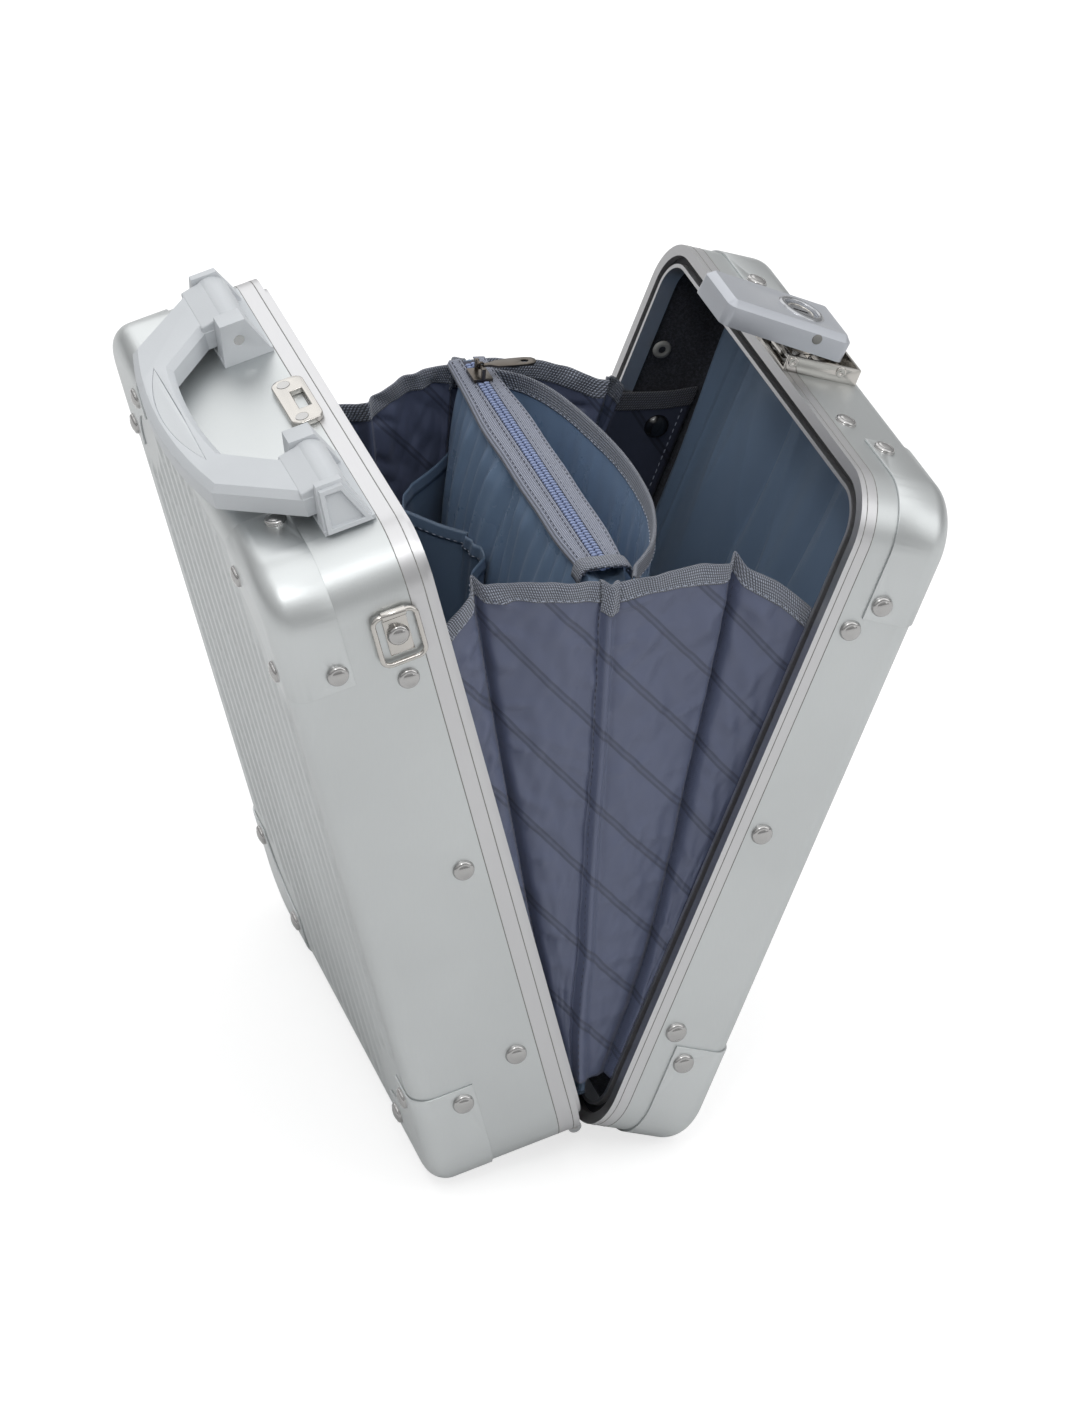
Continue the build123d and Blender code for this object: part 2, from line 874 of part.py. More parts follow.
def make_flap():
    """Open pocket on the lock side: a curved panel with its foot on the zip pocket."""
    foot = pocket_belly_half + seat_gap
    outer = ThreePointArc((foot, flap_half), (flap_bulge, 0), (foot, -flap_half))
    inner = ThreePointArc(
        (foot, -flap_half),
        (flap_bulge - flap_thickness, 0),
        (foot, flap_half),
    )
    return extrude(Plane.XY.offset(flap_bottom) * make_face(outer + inner), flap_top - flap_bottom)


def make_pen_pocket():
    """Flat pocket on the handle side of the divider."""
    face = -(pocket_belly_half + seat_gap)
    return block(
        (face - pen_pocket_thickness, face),
        (pen_pocket_offset - pen_pocket_half, pen_pocket_offset + pen_pocket_half),
        (pen_pocket_bottom, pen_pocket_top),
    )


# Zip slider
slider_low = pocket_top + coil_height + slider_clearance
bridge_level = slider_low + slider_sheet + bridge_height - bridge_radius


def make_slider():
    """Slider plate with a round bridge on two posts."""
    start = slider_place - slider_length / 2
    end = slider_place + slider_length / 2
    slider = block(
        (-slider_half_width, slider_half_width),
        (start, end),
        (slider_low, slider_low + slider_sheet),
    )
    slider = slider + bar_y(bridge_radius, start, end, 0, bridge_level)
    for low, high in ((start, start + bridge_post), (end - bridge_post, end)):
        slider = slider + block(
            (-bridge_width / 2, bridge_width / 2),
            (low, high),
            (slider_low, bridge_level + bridge_radius),
        )
    return slider


def make_pull():
    """Flat pull with an eye round the bridge."""
    start = slider_place - eye_width / 2
    end = slider_place + eye_width / 2
    root = eye_radius + seat_gap
    low = bridge_level - pull_thickness / 2
    eye = bar_y(eye_radius, start, end, 0, bridge_level)
    neck = block((0, root + pull_width / 2), (start, end), (low, low + pull_thickness))
    outline = Pos((root + pull_reach) / 2, slider_place) * RectangleRounded(
        pull_reach - root,
        pull_width,
        pull_corner,
    )
    tab = extrude(Plane.XY.offset(low) * outline, pull_thickness)
    bore = bar_y(bridge_radius + pull_clearance, start - overcut, end + overcut, 0, bridge_level)
    return tab + neck + eye - bore


# Gussets and hinge cover
def make_gusset(end):
    """Fan panel that closes one end of the V, tucked inside both frames."""
    inner = half_width - frame_reach - seat_gap - gusset_thickness
    half = radians(open_angle / 2)
    corners = []
    for side, height in (
        (HANDLE, gusset_bottom),
        (LOCK, gusset_bottom),
        (LOCK, gusset_top),
        (HANDLE, gusset_top),
    ):
        across = side * (height * sin(half) + gusset_tuck * cos(half))
        corners.append((across, height * cos(half) - gusset_tuck * sin(half)))
    start = inner if end == FAR else -inner - gusset_thickness
    plane = Plane((0, start, 0), x_dir=(1, 0, 0), z_dir=(0, -1, 0))
    return extrude(plane * Polygon(*corners, align=None), -gusset_thickness)


def make_cover():
    """Fabric strip over the hinge, between the two frames."""
    reach = (case_bottom + frame_reach + seat_gap) * sin(radians(open_angle / 2))
    return block(
        (-reach, reach),
        (-cover_half, cover_half),
        (cover_level, cover_level + cover_thickness),
    )


# Small fittings in the lock tray
lining_back = lock_depth - pan_wall - rivet_tail - seat_gap - lining_thickness


def make_loop_panel():
    """Loop-fabric panel across the top of the tray's back."""
    top = case_top - loop_panel_drop
    return block(
        (lining_back - loop_panel_thickness, lining_back),
        (-loop_panel_half, loop_panel_half),
        (top - loop_panel_height, top),
    )


def make_studs():
    """Press studs on the loop panel."""
    start = lining_back - loop_panel_thickness - stud_height
    level = case_top - loop_panel_drop - loop_panel_height / 2
    seat = Plane((start, stud_spread, level), z_dir=(1, 0, 0))
    stud = extrude(seat * Circle(stud_radius), stud_height)
    return group(both_ends(stud))


pieces = {}


def add(name, shape, side):
    """Keep a piece under its node name, in its place in the stand."""
    pieces[name] = stand(shape, side)


side_names = {HANDLE: "handle", LOCK: "lock"}
end_names = {NEAR: "near", FAR: "far"}
level_names = {case_bottom: "bottom", case_top: "top"}

for side, side_name in side_names.items():
    add(f"{side_name}_pan", make_pan(side), side)
    add(f"{side_name}_lining", make_lining(side), side)
    add(f"{side_name}_hinge_leaf", make_leaf(side), side)
    frame_rivets = [seat * rivet(frame_grip) for seat in frame_rivet_seats(side)]
    cap_rivets = [seat * rivet(cap_grip) for seat in cap_rivet_seats(side)]
    add(f"{side_name}_frame_rivets", group(frame_rivets), side)
    add(f"{side_name}_cap_rivets", group(cap_rivets), side)
    for end, end_name in end_names.items():
        for level, level_name in level_names.items():
            add(f"{side_name}_cap_{level_name}_{end_name}", make_cap(side, end, level), side)

add("handle_frame", make_handle_frame(), HANDLE)
add("lock_frame", make_lock_frame(), LOCK)
add("gasket", make_gasket(), LOCK)
add("hinge_pin", make_hinge_pin(), HANDLE)

bracket = make_bracket()
for end, end_name in end_names.items():
    placed = bracket if end == FAR else bracket.mirror(Plane.XZ)
    add(f"bracket_{end_name}", placed, HANDLE)
    add(f"ring_clip_{end_name}", make_clip(end), HANDLE)
    add(f"strap_ring_{end_name}", make_ring(end), HANDLE)
    add(f"gusset_{end_name}", make_gusset(end), MIDDLE)
add("handle_pins", make_handle_pins(), HANDLE)
add("handle_bar", make_handle_bar() - make_insert(skin_gap), HANDLE)
add("grip_insert", make_insert(0), HANDLE)
add("strike_plate", make_strike(), HANDLE)
add("strike_screws", group(seat * screw(strike_height + frame_grip) for seat in strike_seats), HANDLE)
add("ring_rivets", group(seat * rivet(clip_sheet + frame_grip) for seat in ring_seats), HANDLE)

add("lock_base", make_base(), LOCK)
add("lock_base_rivets", group(seat * rivet(base_grip) for seat in base_seats), LOCK)
add("hook_pin", lock_pin(hook_pivot_depth, hook_pivot_height, base_half), LOCK)
add("link_foot_pin", lock_pin(link_foot_depth, link_foot_height, base_half), LOCK)
add("lift_link", make_link(), LOCK)
add("link_head_pin", lock_pin(link_head_depth, link_head_height, head_pin_half), LOCK)
add("lock_housing", make_housing(), LOCK)
add("key_cylinder", make_cylinder(), LOCK)
add("latch_hook", make_hook(), LOCK)
add("loop_panel", make_loop_panel(), LOCK)
add("press_studs", make_studs(), LOCK)

add("zip_pocket", make_pocket(), MIDDLE)
add("zip_tapes", make_tapes(), MIDDLE)
add("zip_coil", make_coil(), MIDDLE)
add("pocket_flap", make_flap(), MIDDLE)
add("pen_pocket", make_pen_pocket(), MIDDLE)
add("zip_slider", make_slider(), MIDDLE)
add("zip_pull", make_pull(), MIDDLE)
add("hinge_cover", make_cover(), MIDDLE)

# The origin is the bottom centre of the whole case as it stands.
boxes = [shape.bounding_box() for shape in pieces.values()]
middle_x = (min(box.min.X for box in boxes) + max(box.max.X for box in boxes)) / 2
floor_z = min(box.min.Z for box in boxes)
to_origin = Pos(-middle_x, 0, -floor_z)

os.makedirs("parts", exist_ok=True)
for name, shape in pieces.items():
    export_step(to_origin * shape, f"parts/{name}.step")
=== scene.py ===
import json
from math import atan2, cos, degrees, exp, pi, radians, sin, sqrt

import bmesh
import bpy
from mathutils import Matrix, Vector, noise
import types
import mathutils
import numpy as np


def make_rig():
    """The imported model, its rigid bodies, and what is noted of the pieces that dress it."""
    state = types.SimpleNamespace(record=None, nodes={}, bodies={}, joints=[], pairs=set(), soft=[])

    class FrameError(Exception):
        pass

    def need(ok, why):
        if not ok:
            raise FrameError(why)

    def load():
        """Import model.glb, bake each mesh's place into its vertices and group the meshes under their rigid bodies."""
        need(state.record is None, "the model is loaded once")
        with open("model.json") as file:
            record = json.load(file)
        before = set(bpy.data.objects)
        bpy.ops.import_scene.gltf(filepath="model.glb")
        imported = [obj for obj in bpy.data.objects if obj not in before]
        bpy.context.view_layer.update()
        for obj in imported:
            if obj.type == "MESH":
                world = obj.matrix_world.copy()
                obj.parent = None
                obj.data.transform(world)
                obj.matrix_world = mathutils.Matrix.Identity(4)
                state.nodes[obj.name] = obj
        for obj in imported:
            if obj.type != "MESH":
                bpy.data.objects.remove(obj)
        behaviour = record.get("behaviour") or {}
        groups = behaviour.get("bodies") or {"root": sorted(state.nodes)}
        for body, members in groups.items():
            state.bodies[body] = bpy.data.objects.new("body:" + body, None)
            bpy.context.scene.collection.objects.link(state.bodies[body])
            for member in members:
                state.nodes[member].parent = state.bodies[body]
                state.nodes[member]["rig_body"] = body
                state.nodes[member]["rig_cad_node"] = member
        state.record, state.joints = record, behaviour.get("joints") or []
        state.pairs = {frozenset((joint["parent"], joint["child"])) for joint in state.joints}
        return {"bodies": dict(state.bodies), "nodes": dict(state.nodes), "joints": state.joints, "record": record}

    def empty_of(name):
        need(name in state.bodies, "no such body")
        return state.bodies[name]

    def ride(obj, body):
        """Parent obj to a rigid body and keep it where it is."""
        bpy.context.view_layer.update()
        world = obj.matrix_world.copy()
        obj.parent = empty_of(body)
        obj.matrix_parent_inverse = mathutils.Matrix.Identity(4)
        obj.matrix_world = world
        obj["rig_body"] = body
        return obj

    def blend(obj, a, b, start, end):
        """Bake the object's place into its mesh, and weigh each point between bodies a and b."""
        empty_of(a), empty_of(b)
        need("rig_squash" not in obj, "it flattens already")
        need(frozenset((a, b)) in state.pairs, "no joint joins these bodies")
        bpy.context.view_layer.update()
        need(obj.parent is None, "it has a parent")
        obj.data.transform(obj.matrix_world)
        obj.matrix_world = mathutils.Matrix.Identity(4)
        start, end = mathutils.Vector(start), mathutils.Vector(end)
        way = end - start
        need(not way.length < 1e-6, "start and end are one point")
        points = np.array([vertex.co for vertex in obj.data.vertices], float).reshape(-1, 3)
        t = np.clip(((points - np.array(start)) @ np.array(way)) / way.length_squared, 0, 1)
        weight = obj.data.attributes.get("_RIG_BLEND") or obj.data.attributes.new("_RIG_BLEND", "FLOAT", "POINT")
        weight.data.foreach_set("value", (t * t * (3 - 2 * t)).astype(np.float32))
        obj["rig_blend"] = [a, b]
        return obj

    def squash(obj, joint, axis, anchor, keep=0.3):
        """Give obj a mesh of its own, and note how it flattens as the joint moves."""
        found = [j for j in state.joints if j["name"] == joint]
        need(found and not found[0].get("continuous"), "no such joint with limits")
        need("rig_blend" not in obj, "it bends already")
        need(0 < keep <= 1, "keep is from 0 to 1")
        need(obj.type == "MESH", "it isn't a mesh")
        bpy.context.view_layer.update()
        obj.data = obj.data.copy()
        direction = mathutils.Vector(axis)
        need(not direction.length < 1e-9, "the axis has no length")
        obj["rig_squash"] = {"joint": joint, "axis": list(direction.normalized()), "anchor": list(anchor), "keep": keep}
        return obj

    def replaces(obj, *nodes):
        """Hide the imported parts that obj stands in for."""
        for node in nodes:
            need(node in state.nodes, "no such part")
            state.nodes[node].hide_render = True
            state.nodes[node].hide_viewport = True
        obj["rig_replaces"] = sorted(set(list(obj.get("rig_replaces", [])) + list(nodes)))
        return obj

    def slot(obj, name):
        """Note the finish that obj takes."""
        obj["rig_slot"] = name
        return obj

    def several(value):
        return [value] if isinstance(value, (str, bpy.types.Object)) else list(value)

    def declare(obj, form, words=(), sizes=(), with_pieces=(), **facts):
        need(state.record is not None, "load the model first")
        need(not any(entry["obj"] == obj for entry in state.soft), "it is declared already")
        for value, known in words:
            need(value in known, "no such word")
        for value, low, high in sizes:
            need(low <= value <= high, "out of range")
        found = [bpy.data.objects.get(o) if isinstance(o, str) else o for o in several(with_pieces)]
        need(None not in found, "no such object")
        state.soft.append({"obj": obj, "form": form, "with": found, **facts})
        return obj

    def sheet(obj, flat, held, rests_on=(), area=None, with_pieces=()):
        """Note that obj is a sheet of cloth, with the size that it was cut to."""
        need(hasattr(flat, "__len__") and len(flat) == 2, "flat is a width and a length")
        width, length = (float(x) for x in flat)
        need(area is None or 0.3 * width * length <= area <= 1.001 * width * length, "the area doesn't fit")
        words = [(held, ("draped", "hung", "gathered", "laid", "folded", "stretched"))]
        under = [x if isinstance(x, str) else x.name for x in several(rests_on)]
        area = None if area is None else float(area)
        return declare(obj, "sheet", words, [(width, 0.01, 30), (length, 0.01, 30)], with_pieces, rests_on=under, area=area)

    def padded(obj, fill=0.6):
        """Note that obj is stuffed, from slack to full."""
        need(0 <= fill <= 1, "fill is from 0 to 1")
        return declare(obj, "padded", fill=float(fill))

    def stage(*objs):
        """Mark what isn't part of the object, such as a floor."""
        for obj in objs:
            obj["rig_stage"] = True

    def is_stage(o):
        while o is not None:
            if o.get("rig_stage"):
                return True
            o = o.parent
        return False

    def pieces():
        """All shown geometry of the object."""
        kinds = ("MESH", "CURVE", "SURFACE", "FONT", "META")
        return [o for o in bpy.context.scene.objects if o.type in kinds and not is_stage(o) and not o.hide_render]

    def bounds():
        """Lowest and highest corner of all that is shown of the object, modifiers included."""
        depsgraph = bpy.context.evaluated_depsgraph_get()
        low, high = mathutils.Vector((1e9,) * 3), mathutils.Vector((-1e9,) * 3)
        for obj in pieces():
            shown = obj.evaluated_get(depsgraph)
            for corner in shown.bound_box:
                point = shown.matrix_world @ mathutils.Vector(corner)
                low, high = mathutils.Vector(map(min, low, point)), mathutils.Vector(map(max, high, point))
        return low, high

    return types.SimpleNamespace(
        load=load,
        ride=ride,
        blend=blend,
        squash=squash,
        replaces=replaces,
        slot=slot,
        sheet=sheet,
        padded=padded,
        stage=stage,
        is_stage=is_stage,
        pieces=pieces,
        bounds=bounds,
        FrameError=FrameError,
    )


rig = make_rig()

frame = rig.load()

bl_info = {
    "name": "Laptop hard case",
    "version": (1, 0, 0),
    "blender": (4, 5, 0),
    "location": "View3D > Sidebar > Case",
    "description": "Dresses the open aluminium case with metal, cloth, zip and lock detail",
    "category": "Object",
}

# Frame of the two shells and of the divider between them
MM = 0.001
HANDLE, LOCK, MIDDLE = -1, 1, 0
NEAR, FAR = -1, 1
END_NAMES = {NEAR: "near", FAR: "far"}
SIDE_NAMES = {HANDLE: "handle", LOCK: "lock"}
BODIES = {HANDLE: "handle_shell", LOCK: "lock_shell"}
JOINTS = {joint["name"]: joint for joint in frame["joints"]}
HINGE = Vector(JOINTS["case_hinge"]["pos_m"])
OPENING = radians(-JOINTS["case_hinge"]["range_deg"][0])
RING_AXIS = JOINTS["strap_ring_far_swing"]["axis"]
HANDLE_LEAN = atan2(-RING_AXIS[2], RING_AXIS[0])
LEANS = {HANDLE: HANDLE_LEAN, LOCK: HANDLE_LEAN + OPENING, MIDDLE: HANDLE_LEAN + OPENING / 2}
CAD_BOX = [list(corner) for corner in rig.bounds()]

# Sizes of the case that the dressing follows, in millimetres from the hinge
CASE_BOTTOM = 4.5
CASE_TOP = 349.5
HALF_WIDTH = 135.0
PLAN_RADIUS = 27.0
DEPTHS = {HANDLE: 72.0, LOCK: 47.2}
GUSSET_PLANE = 121.8
POCKET_TOP = 281.0
DIVIDER_HALF = 117.0

# Profiles of turned pieces, as radii and heights
HEAD_DOME = (
    (0, 0.7), (1.2, 0.63), (2.4, 0.4), (3.4, -0.05), (4.2, -0.65), (4.75, -1.25), (5.05, -1.7), (5.1, -1.95),
)
STUD_CAP = ((0, 2.6), (3, 2.5), (5.2, 1.7), (6, 0.6), (6.3, 0), (5, 0), (0, 0))
EYELET_RIM = ((1.9, 0.9), (2.6, 1.3), (3.9, 1.0), (4.6, 0.2), (4.6, 0), (1.9, 0))
KEY_BEZEL = ((8.3, -0.9), (8.5, 0.5), (9.3, 1.0), (10.6, 0.7), (11.4, 0.05), (11.4, -0.4), (8.3, -0.9))
SIDE_PLUG = ((0, 0.35), (2.1, 0.3), (2.5, 0), (0, 0))
PIN_HEAD = ((0, 0.2), (0.9, 0.25), (1.1, 0.6), (2.3, 0.5), (2.6, 0.2), (2.6, 0))


def place(side):
    """Matrix from depth, width and height in the closed case to the open shell."""
    flip = Matrix.Diagonal((-1 if side == HANDLE else 1, 1, 1, 1))
    return Matrix.Translation(HINGE) @ Matrix.Rotation(LEANS[side], 4, "Y") @ flip @ Matrix.Scale(MM, 4)


def direction(side, way):
    """Unit vector of a way given in the closed case, on the open shell."""
    return (place(side).to_3x3() @ Vector(way)).normalized()


# Sockets of a Mix node that blends colours: its factor and two colours, and its result
MIX_INPUTS = (0, 6, 7)
MIX_RESULT = 2


# Shader maths
class Field:
    """One socket of a material, used in expressions."""

    def __init__(self, paint, socket):
        self.paint = paint
        self.socket = socket

    def _math(self, operation, *values):
        """Result of a new Math node."""
        made = self.paint.node("ShaderNodeMath", {"operation": operation})
        for socket, value in zip(made.inputs, values):
            self.paint.feed(socket, value)
        return Field(self.paint, made.outputs[0])

    def __add__(self, other):
        return self._math("ADD", self, other)

    def __radd__(self, other):
        return self._math("ADD", other, self)

    def __sub__(self, other):
        return self._math("SUBTRACT", self, other)

    def __rsub__(self, other):
        return self._math("SUBTRACT", other, self)

    def __mul__(self, other):
        return self._math("MULTIPLY", self, other)

    def __rmul__(self, other):
        return self._math("MULTIPLY", other, self)

    def sine(self):
        """Sine of an angle in radians."""
        return self._math("SINE", self)

    def modulo(self, period):
        """Place within a period, from 0 to the period."""
        return self._math("FLOORED_MODULO", self, period)

    def size(self):
        """Value without its sign."""
        return self._math("ABSOLUTE", self)

    def step(self, low, high):
        """0 on the low side, 1 on the high side and smooth between."""
        made = self.paint.node(
            "ShaderNodeMapRange",
            {"interpolation_type": "SMOOTHSTEP"},
            {"Value": self, "From Min": low, "From Max": high},
        )
        return Field(self.paint, made.outputs["Result"])


class Paint:
    """Node tree of one material."""

    def __init__(self, name, **constants):
        self.material = bpy.data.materials.new(name)
        self.material.use_nodes = True
        self.tree = self.material.node_tree
        self.tree.nodes.clear()
        self.shader = self.node("ShaderNodeBsdfPrincipled")
        self.output = self.node("ShaderNodeOutputMaterial")
        self.finish(self.shader)
        for socket, value in constants.items():
            self.set(socket.replace("_", " "), value)

    def node(self, kind, settings=None, inputs=None):
        """Add a node, set it, and feed its sockets."""
        made = self.tree.nodes.new(kind)
        for name, value in (settings or {}).items():
            setattr(made, name, value)
        for name, value in (inputs or {}).items():
            self.feed(made.inputs[name], value)
        return made

    def feed(self, socket, value):
        """Give a socket a link or a fixed value."""
        if isinstance(value, Field):
            self.tree.links.new(value.socket, socket)
        else:
            socket.default_value = value

    def set(self, name, value):
        """Feed one socket of the shader."""
        self.feed(self.shader.inputs[name], value)

    def finish(self, shader):
        """Let a shader give the surface."""
        self.tree.links.new(shader.outputs[0], self.output.inputs["Surface"])

    def coordinates(self, turn=(0, 0, 0), scale=(1, 1, 1), source="Object"):
        """Object or UV coordinates in metres, turned and scaled."""
        made = self.node("ShaderNodeTexCoord")
        mapping = self.node("ShaderNodeMapping", None, {
            "Vector": Field(self, made.outputs[source]),
            "Rotation": turn,
            "Scale": scale,
        })
        return Field(self, mapping.outputs["Vector"])

    def axes(self, vector):
        """The three numbers of a vector."""
        made = self.node("ShaderNodeSeparateXYZ", None, {"Vector": vector})
        return [Field(self, socket) for socket in made.outputs]

    def clouds(self, vector, scale, detail=3, roughness=0.5):
        """Noise from 0 to 1."""
        made = self.node("ShaderNodeTexNoise", None, {
            "Vector": vector,
            "Scale": scale,
            "Detail": detail,
            "Roughness": roughness,
        })
        return Field(self, made.outputs["Fac"])

    def mix(self, factor, first, second):
        """Blend of two colours."""
        made = self.node("ShaderNodeMix", {"data_type": "RGBA"})
        for index, value in zip(MIX_INPUTS, (factor, first, second)):
            self.feed(made.inputs[index], value)
        return Field(self, made.outputs[MIX_RESULT])

    def bump(self, height, distance):
        """Normal from a height field."""
        made = self.node("ShaderNodeBump", None, {"Height": height, "Distance": distance, "Strength": 1})
        self.set("Normal", Field(self, made.outputs["Normal"]))


def shade(colour, amount):
    """The colour made darker or lighter."""
    return tuple(min(1, part * amount) for part in colour[:3]) + (1,)


def satin_metal(name, colour, roughness, side, grain=(40, 40, 4), mottle=0.04):
    """Anodised sheet metal with a fine drawn grain and faint mottling."""
    paint = Paint(name, Metallic=1.0)
    vector = paint.coordinates(turn=(0, -LEANS[side], 0), scale=grain)
    streaks = paint.clouds(vector, scale=40, detail=4, roughness=0.6)
    mottling = paint.clouds(paint.coordinates(), scale=9)
    tone = paint.mix(mottling.step(0.3, 0.7), shade(colour, 1 - mottle), shade(colour, 1 + mottle))
    paint.set("Base Color", paint.mix((streaks - 0.5) * 0.25 + 0.12, tone, shade(colour, 0.9)))
    paint.set("Roughness", mottling * 0.08 + streaks * 0.08 + (roughness - 0.08))
    paint.bump(streaks, distance=0.00004)
    return paint.material


def polished_metal(name, colour, roughness):
    """Plated or turned metal with fine scratches."""
    paint = Paint(name, Metallic=1.0)
    vector = paint.coordinates(turn=(0.3, 0.5, 0.2), scale=(30, 160, 60))
    scratches = paint.clouds(vector, scale=12, detail=5, roughness=0.7)
    stains = paint.clouds(paint.coordinates(), scale=28)
    paint.set("Base Color", paint.mix(stains.step(0.35, 0.75) * 0.6, colour, shade(colour, 0.9)))
    paint.set("Roughness", scratches.step(0.4, 0.8) * 0.06 + stains * 0.06 + (roughness - 0.03))
    paint.bump(scratches, distance=0.000002)
    return paint.material


def moulded_plastic(name, colour, roughness, grain=0.00005, coat=0.0, flakes=0.0):
    """Moulded plastic with a spark-eroded grain, lacquered where it has a coat."""
    paint = Paint(name, Coat_Weight=coat, Coat_Roughness=0.25, Metallic=flakes)
    vector = paint.coordinates()
    pores = paint.clouds(vector, scale=1400, detail=2)
    soil = paint.clouds(vector, scale=16, detail=4)
    paint.set("Base Color", paint.mix(soil.step(0.3, 0.8), colour, shade(colour, 0.94)))
    paint.set("Roughness", soil * 0.1 + pores * 0.06 + (roughness - 0.08))
    paint.bump(pores, distance=grain)
    return paint.material


# Stripes woven into the gussets' nylon, in metres
STRIPE_SPACING = 0.0376
STRIPE_WIDTH = 0.0034
STRIPE_LINE = 0.0011
STRIPE_SLOPE = 1.05


def woven(name, colour, pitch=0.0006, sheen=0.3, roughness=0.7, depth=0.0001, mottle=0.2, stripes=None):
    """Plain weave on the piece's UV map, with slanted stripes as dark as stripes says."""
    paint = Paint(name, Sheen_Weight=sheen, Sheen_Roughness=0.4)
    vector = paint.coordinates(source="UV")
    across, along, _ = paint.axes(vector)
    warp = (across * (2 * pi / pitch)).sine()
    weft = (along * (2 * pi / pitch)).sine()
    threads = warp * weft * 0.5 + 0.5
    folds = paint.clouds(vector, scale=22, detail=5, roughness=0.6)
    tone = paint.mix(threads, shade(colour, 1 - mottle), shade(colour, 1 + mottle))
    tone = paint.mix(folds.step(0.3, 0.75) * 0.5, tone, shade(colour, 1 - mottle))
    height = threads
    if stripes:
        half = STRIPE_WIDTH / 2
        drift = (along + across * STRIPE_SLOPE + folds * 0.003).modulo(STRIPE_SPACING)
        band = (drift - STRIPE_SPACING / 2).size()
        lines = (band - half).size().step(STRIPE_LINE, STRIPE_LINE / 2)
        inside = band.step(half, half - STRIPE_LINE)
        tone = paint.mix(inside * 0.35, tone, shade(colour, stripes))
        tone = paint.mix(lines, tone, shade(colour, stripes))
        height = threads - lines * 0.7
    paint.set("Base Color", tone)
    paint.set("Roughness", folds * 0.12 + (roughness - 0.06))
    paint.bump(height, distance=depth)
    return paint.material


def satin_cloth(name, colour, roughness):
    """Fine smooth satin."""
    return woven(name, colour, pitch=0.0005, sheen=0.06, roughness=roughness, depth=0.00003, mottle=0.08)


def striped_nylon(name, colour, sheen, roughness, stripes):
    """Nylon of the gussets, with its woven stripes."""
    return woven(name, colour, 0.0007, sheen, roughness, depth=0.00006, mottle=0.1, stripes=stripes)


def ribbed(name, colour, pitch=0.0013, slant=0.5, depth=0.0004):
    """Webbing: short ribs in slanted rows, on the piece's UV map."""
    paint = Paint(name, Sheen_Weight=0.25, Sheen_Roughness=0.5)
    vector = paint.coordinates(source="UV")
    across, along, _ = paint.axes(vector)
    rows = (across * (pi / (pitch * 0.8))).sine().size()
    ribs = ((along + across * slant) * (2 * pi / pitch)).sine() * 0.5 + 0.5
    weave = ribs * rows
    dust = paint.clouds(vector, scale=60)
    tone = paint.mix(weave.step(0.15, 0.7), shade(colour, 0.2), shade(colour, 1.5))
    paint.set("Base Color", paint.mix(dust * 0.35, tone, shade(colour, 0.8)))
    paint.set("Roughness", dust * 0.1 + 0.7)
    paint.bump(weave, distance=depth)
    return paint.material


def napped(name, colour):
    """Loop fabric: a dense dark pile."""
    paint = Paint(name, Sheen_Weight=0.08, Sheen_Roughness=0.6)
    vector = paint.coordinates()
    pile = paint.clouds(vector, scale=900, detail=4, roughness=0.8)
    wear = paint.clouds(vector, scale=40, detail=4)
    paint.set("Base Color", paint.mix(pile.step(0.4, 0.7), shade(colour, 0.4), shade(colour, 1.7)))
    paint.set("Roughness", wear * 0.1 + 0.85)
    paint.bump(pile + wear * 0.5, distance=0.0006)
    return paint.material


def rubber(name, colour):
    """Dull rubber with fine dust."""
    paint = Paint(name)
    dust = paint.clouds(paint.coordinates(), scale=200, detail=4)
    paint.set("Base Color", paint.mix(dust.step(0.5, 0.8), colour, shade(colour, 2.2)))
    paint.set("Roughness", dust * 0.15 + 0.55)
    paint.bump(dust, distance=0.00005)
    return paint.material


# Curves and wrinkles
def smooth_between(value, low, high):
    """0 below low, 1 above high and smooth between."""
    share = min(1, max(0, (value - low) / (high - low)))
    return share * share * (3 - 2 * share)


def along_line(points, value):
    """Value of a smooth curve through (place, value) points."""
    last = len(points) - 1
    index = next((at for at in range(last) if value <= points[at + 1][0]), last - 1)

    def slope(at):
        (start, first), (end, second) = points[max(0, at - 1)], points[min(last, at + 1)]
        return (second - first) / (end - start)

    (start, first), (end, second) = points[index], points[index + 1]
    step = end - start
    share = min(1, max(0, (value - start) / step))
    left, right = slope(index) * step, slope(index + 1) * step
    bend = (2 * share - 3) * share * share
    return (
        first * (1 + bend) - second * bend
        + left * share * (1 - share) ** 2 - right * share * share * (1 - share)
    )


def straight_line(points, value):
    """Value of a line through (place, value) points, straight between them."""
    for (start, first), (end, last) in zip(points, points[1:]):
        if value <= end:
            return first + (last - first) * max(0, value - start) / (end - start)
    return points[-1][1]


def bell(value):
    """Rounded peak of height 1 and half width about 1."""
    return exp(-value * value)


def wrinkle(height, *spot):
    """Soft wrinkle that rises and sinks by up to its height over a place in three numbers."""
    return height * noise.noise(Vector(spot))


def crease(*spot):
    """Sharp ridges of crumpled cloth, from 0 to 1."""
    return (1 - min(1, abs(noise.noise(Vector(spot))) * 3.2)) ** 2


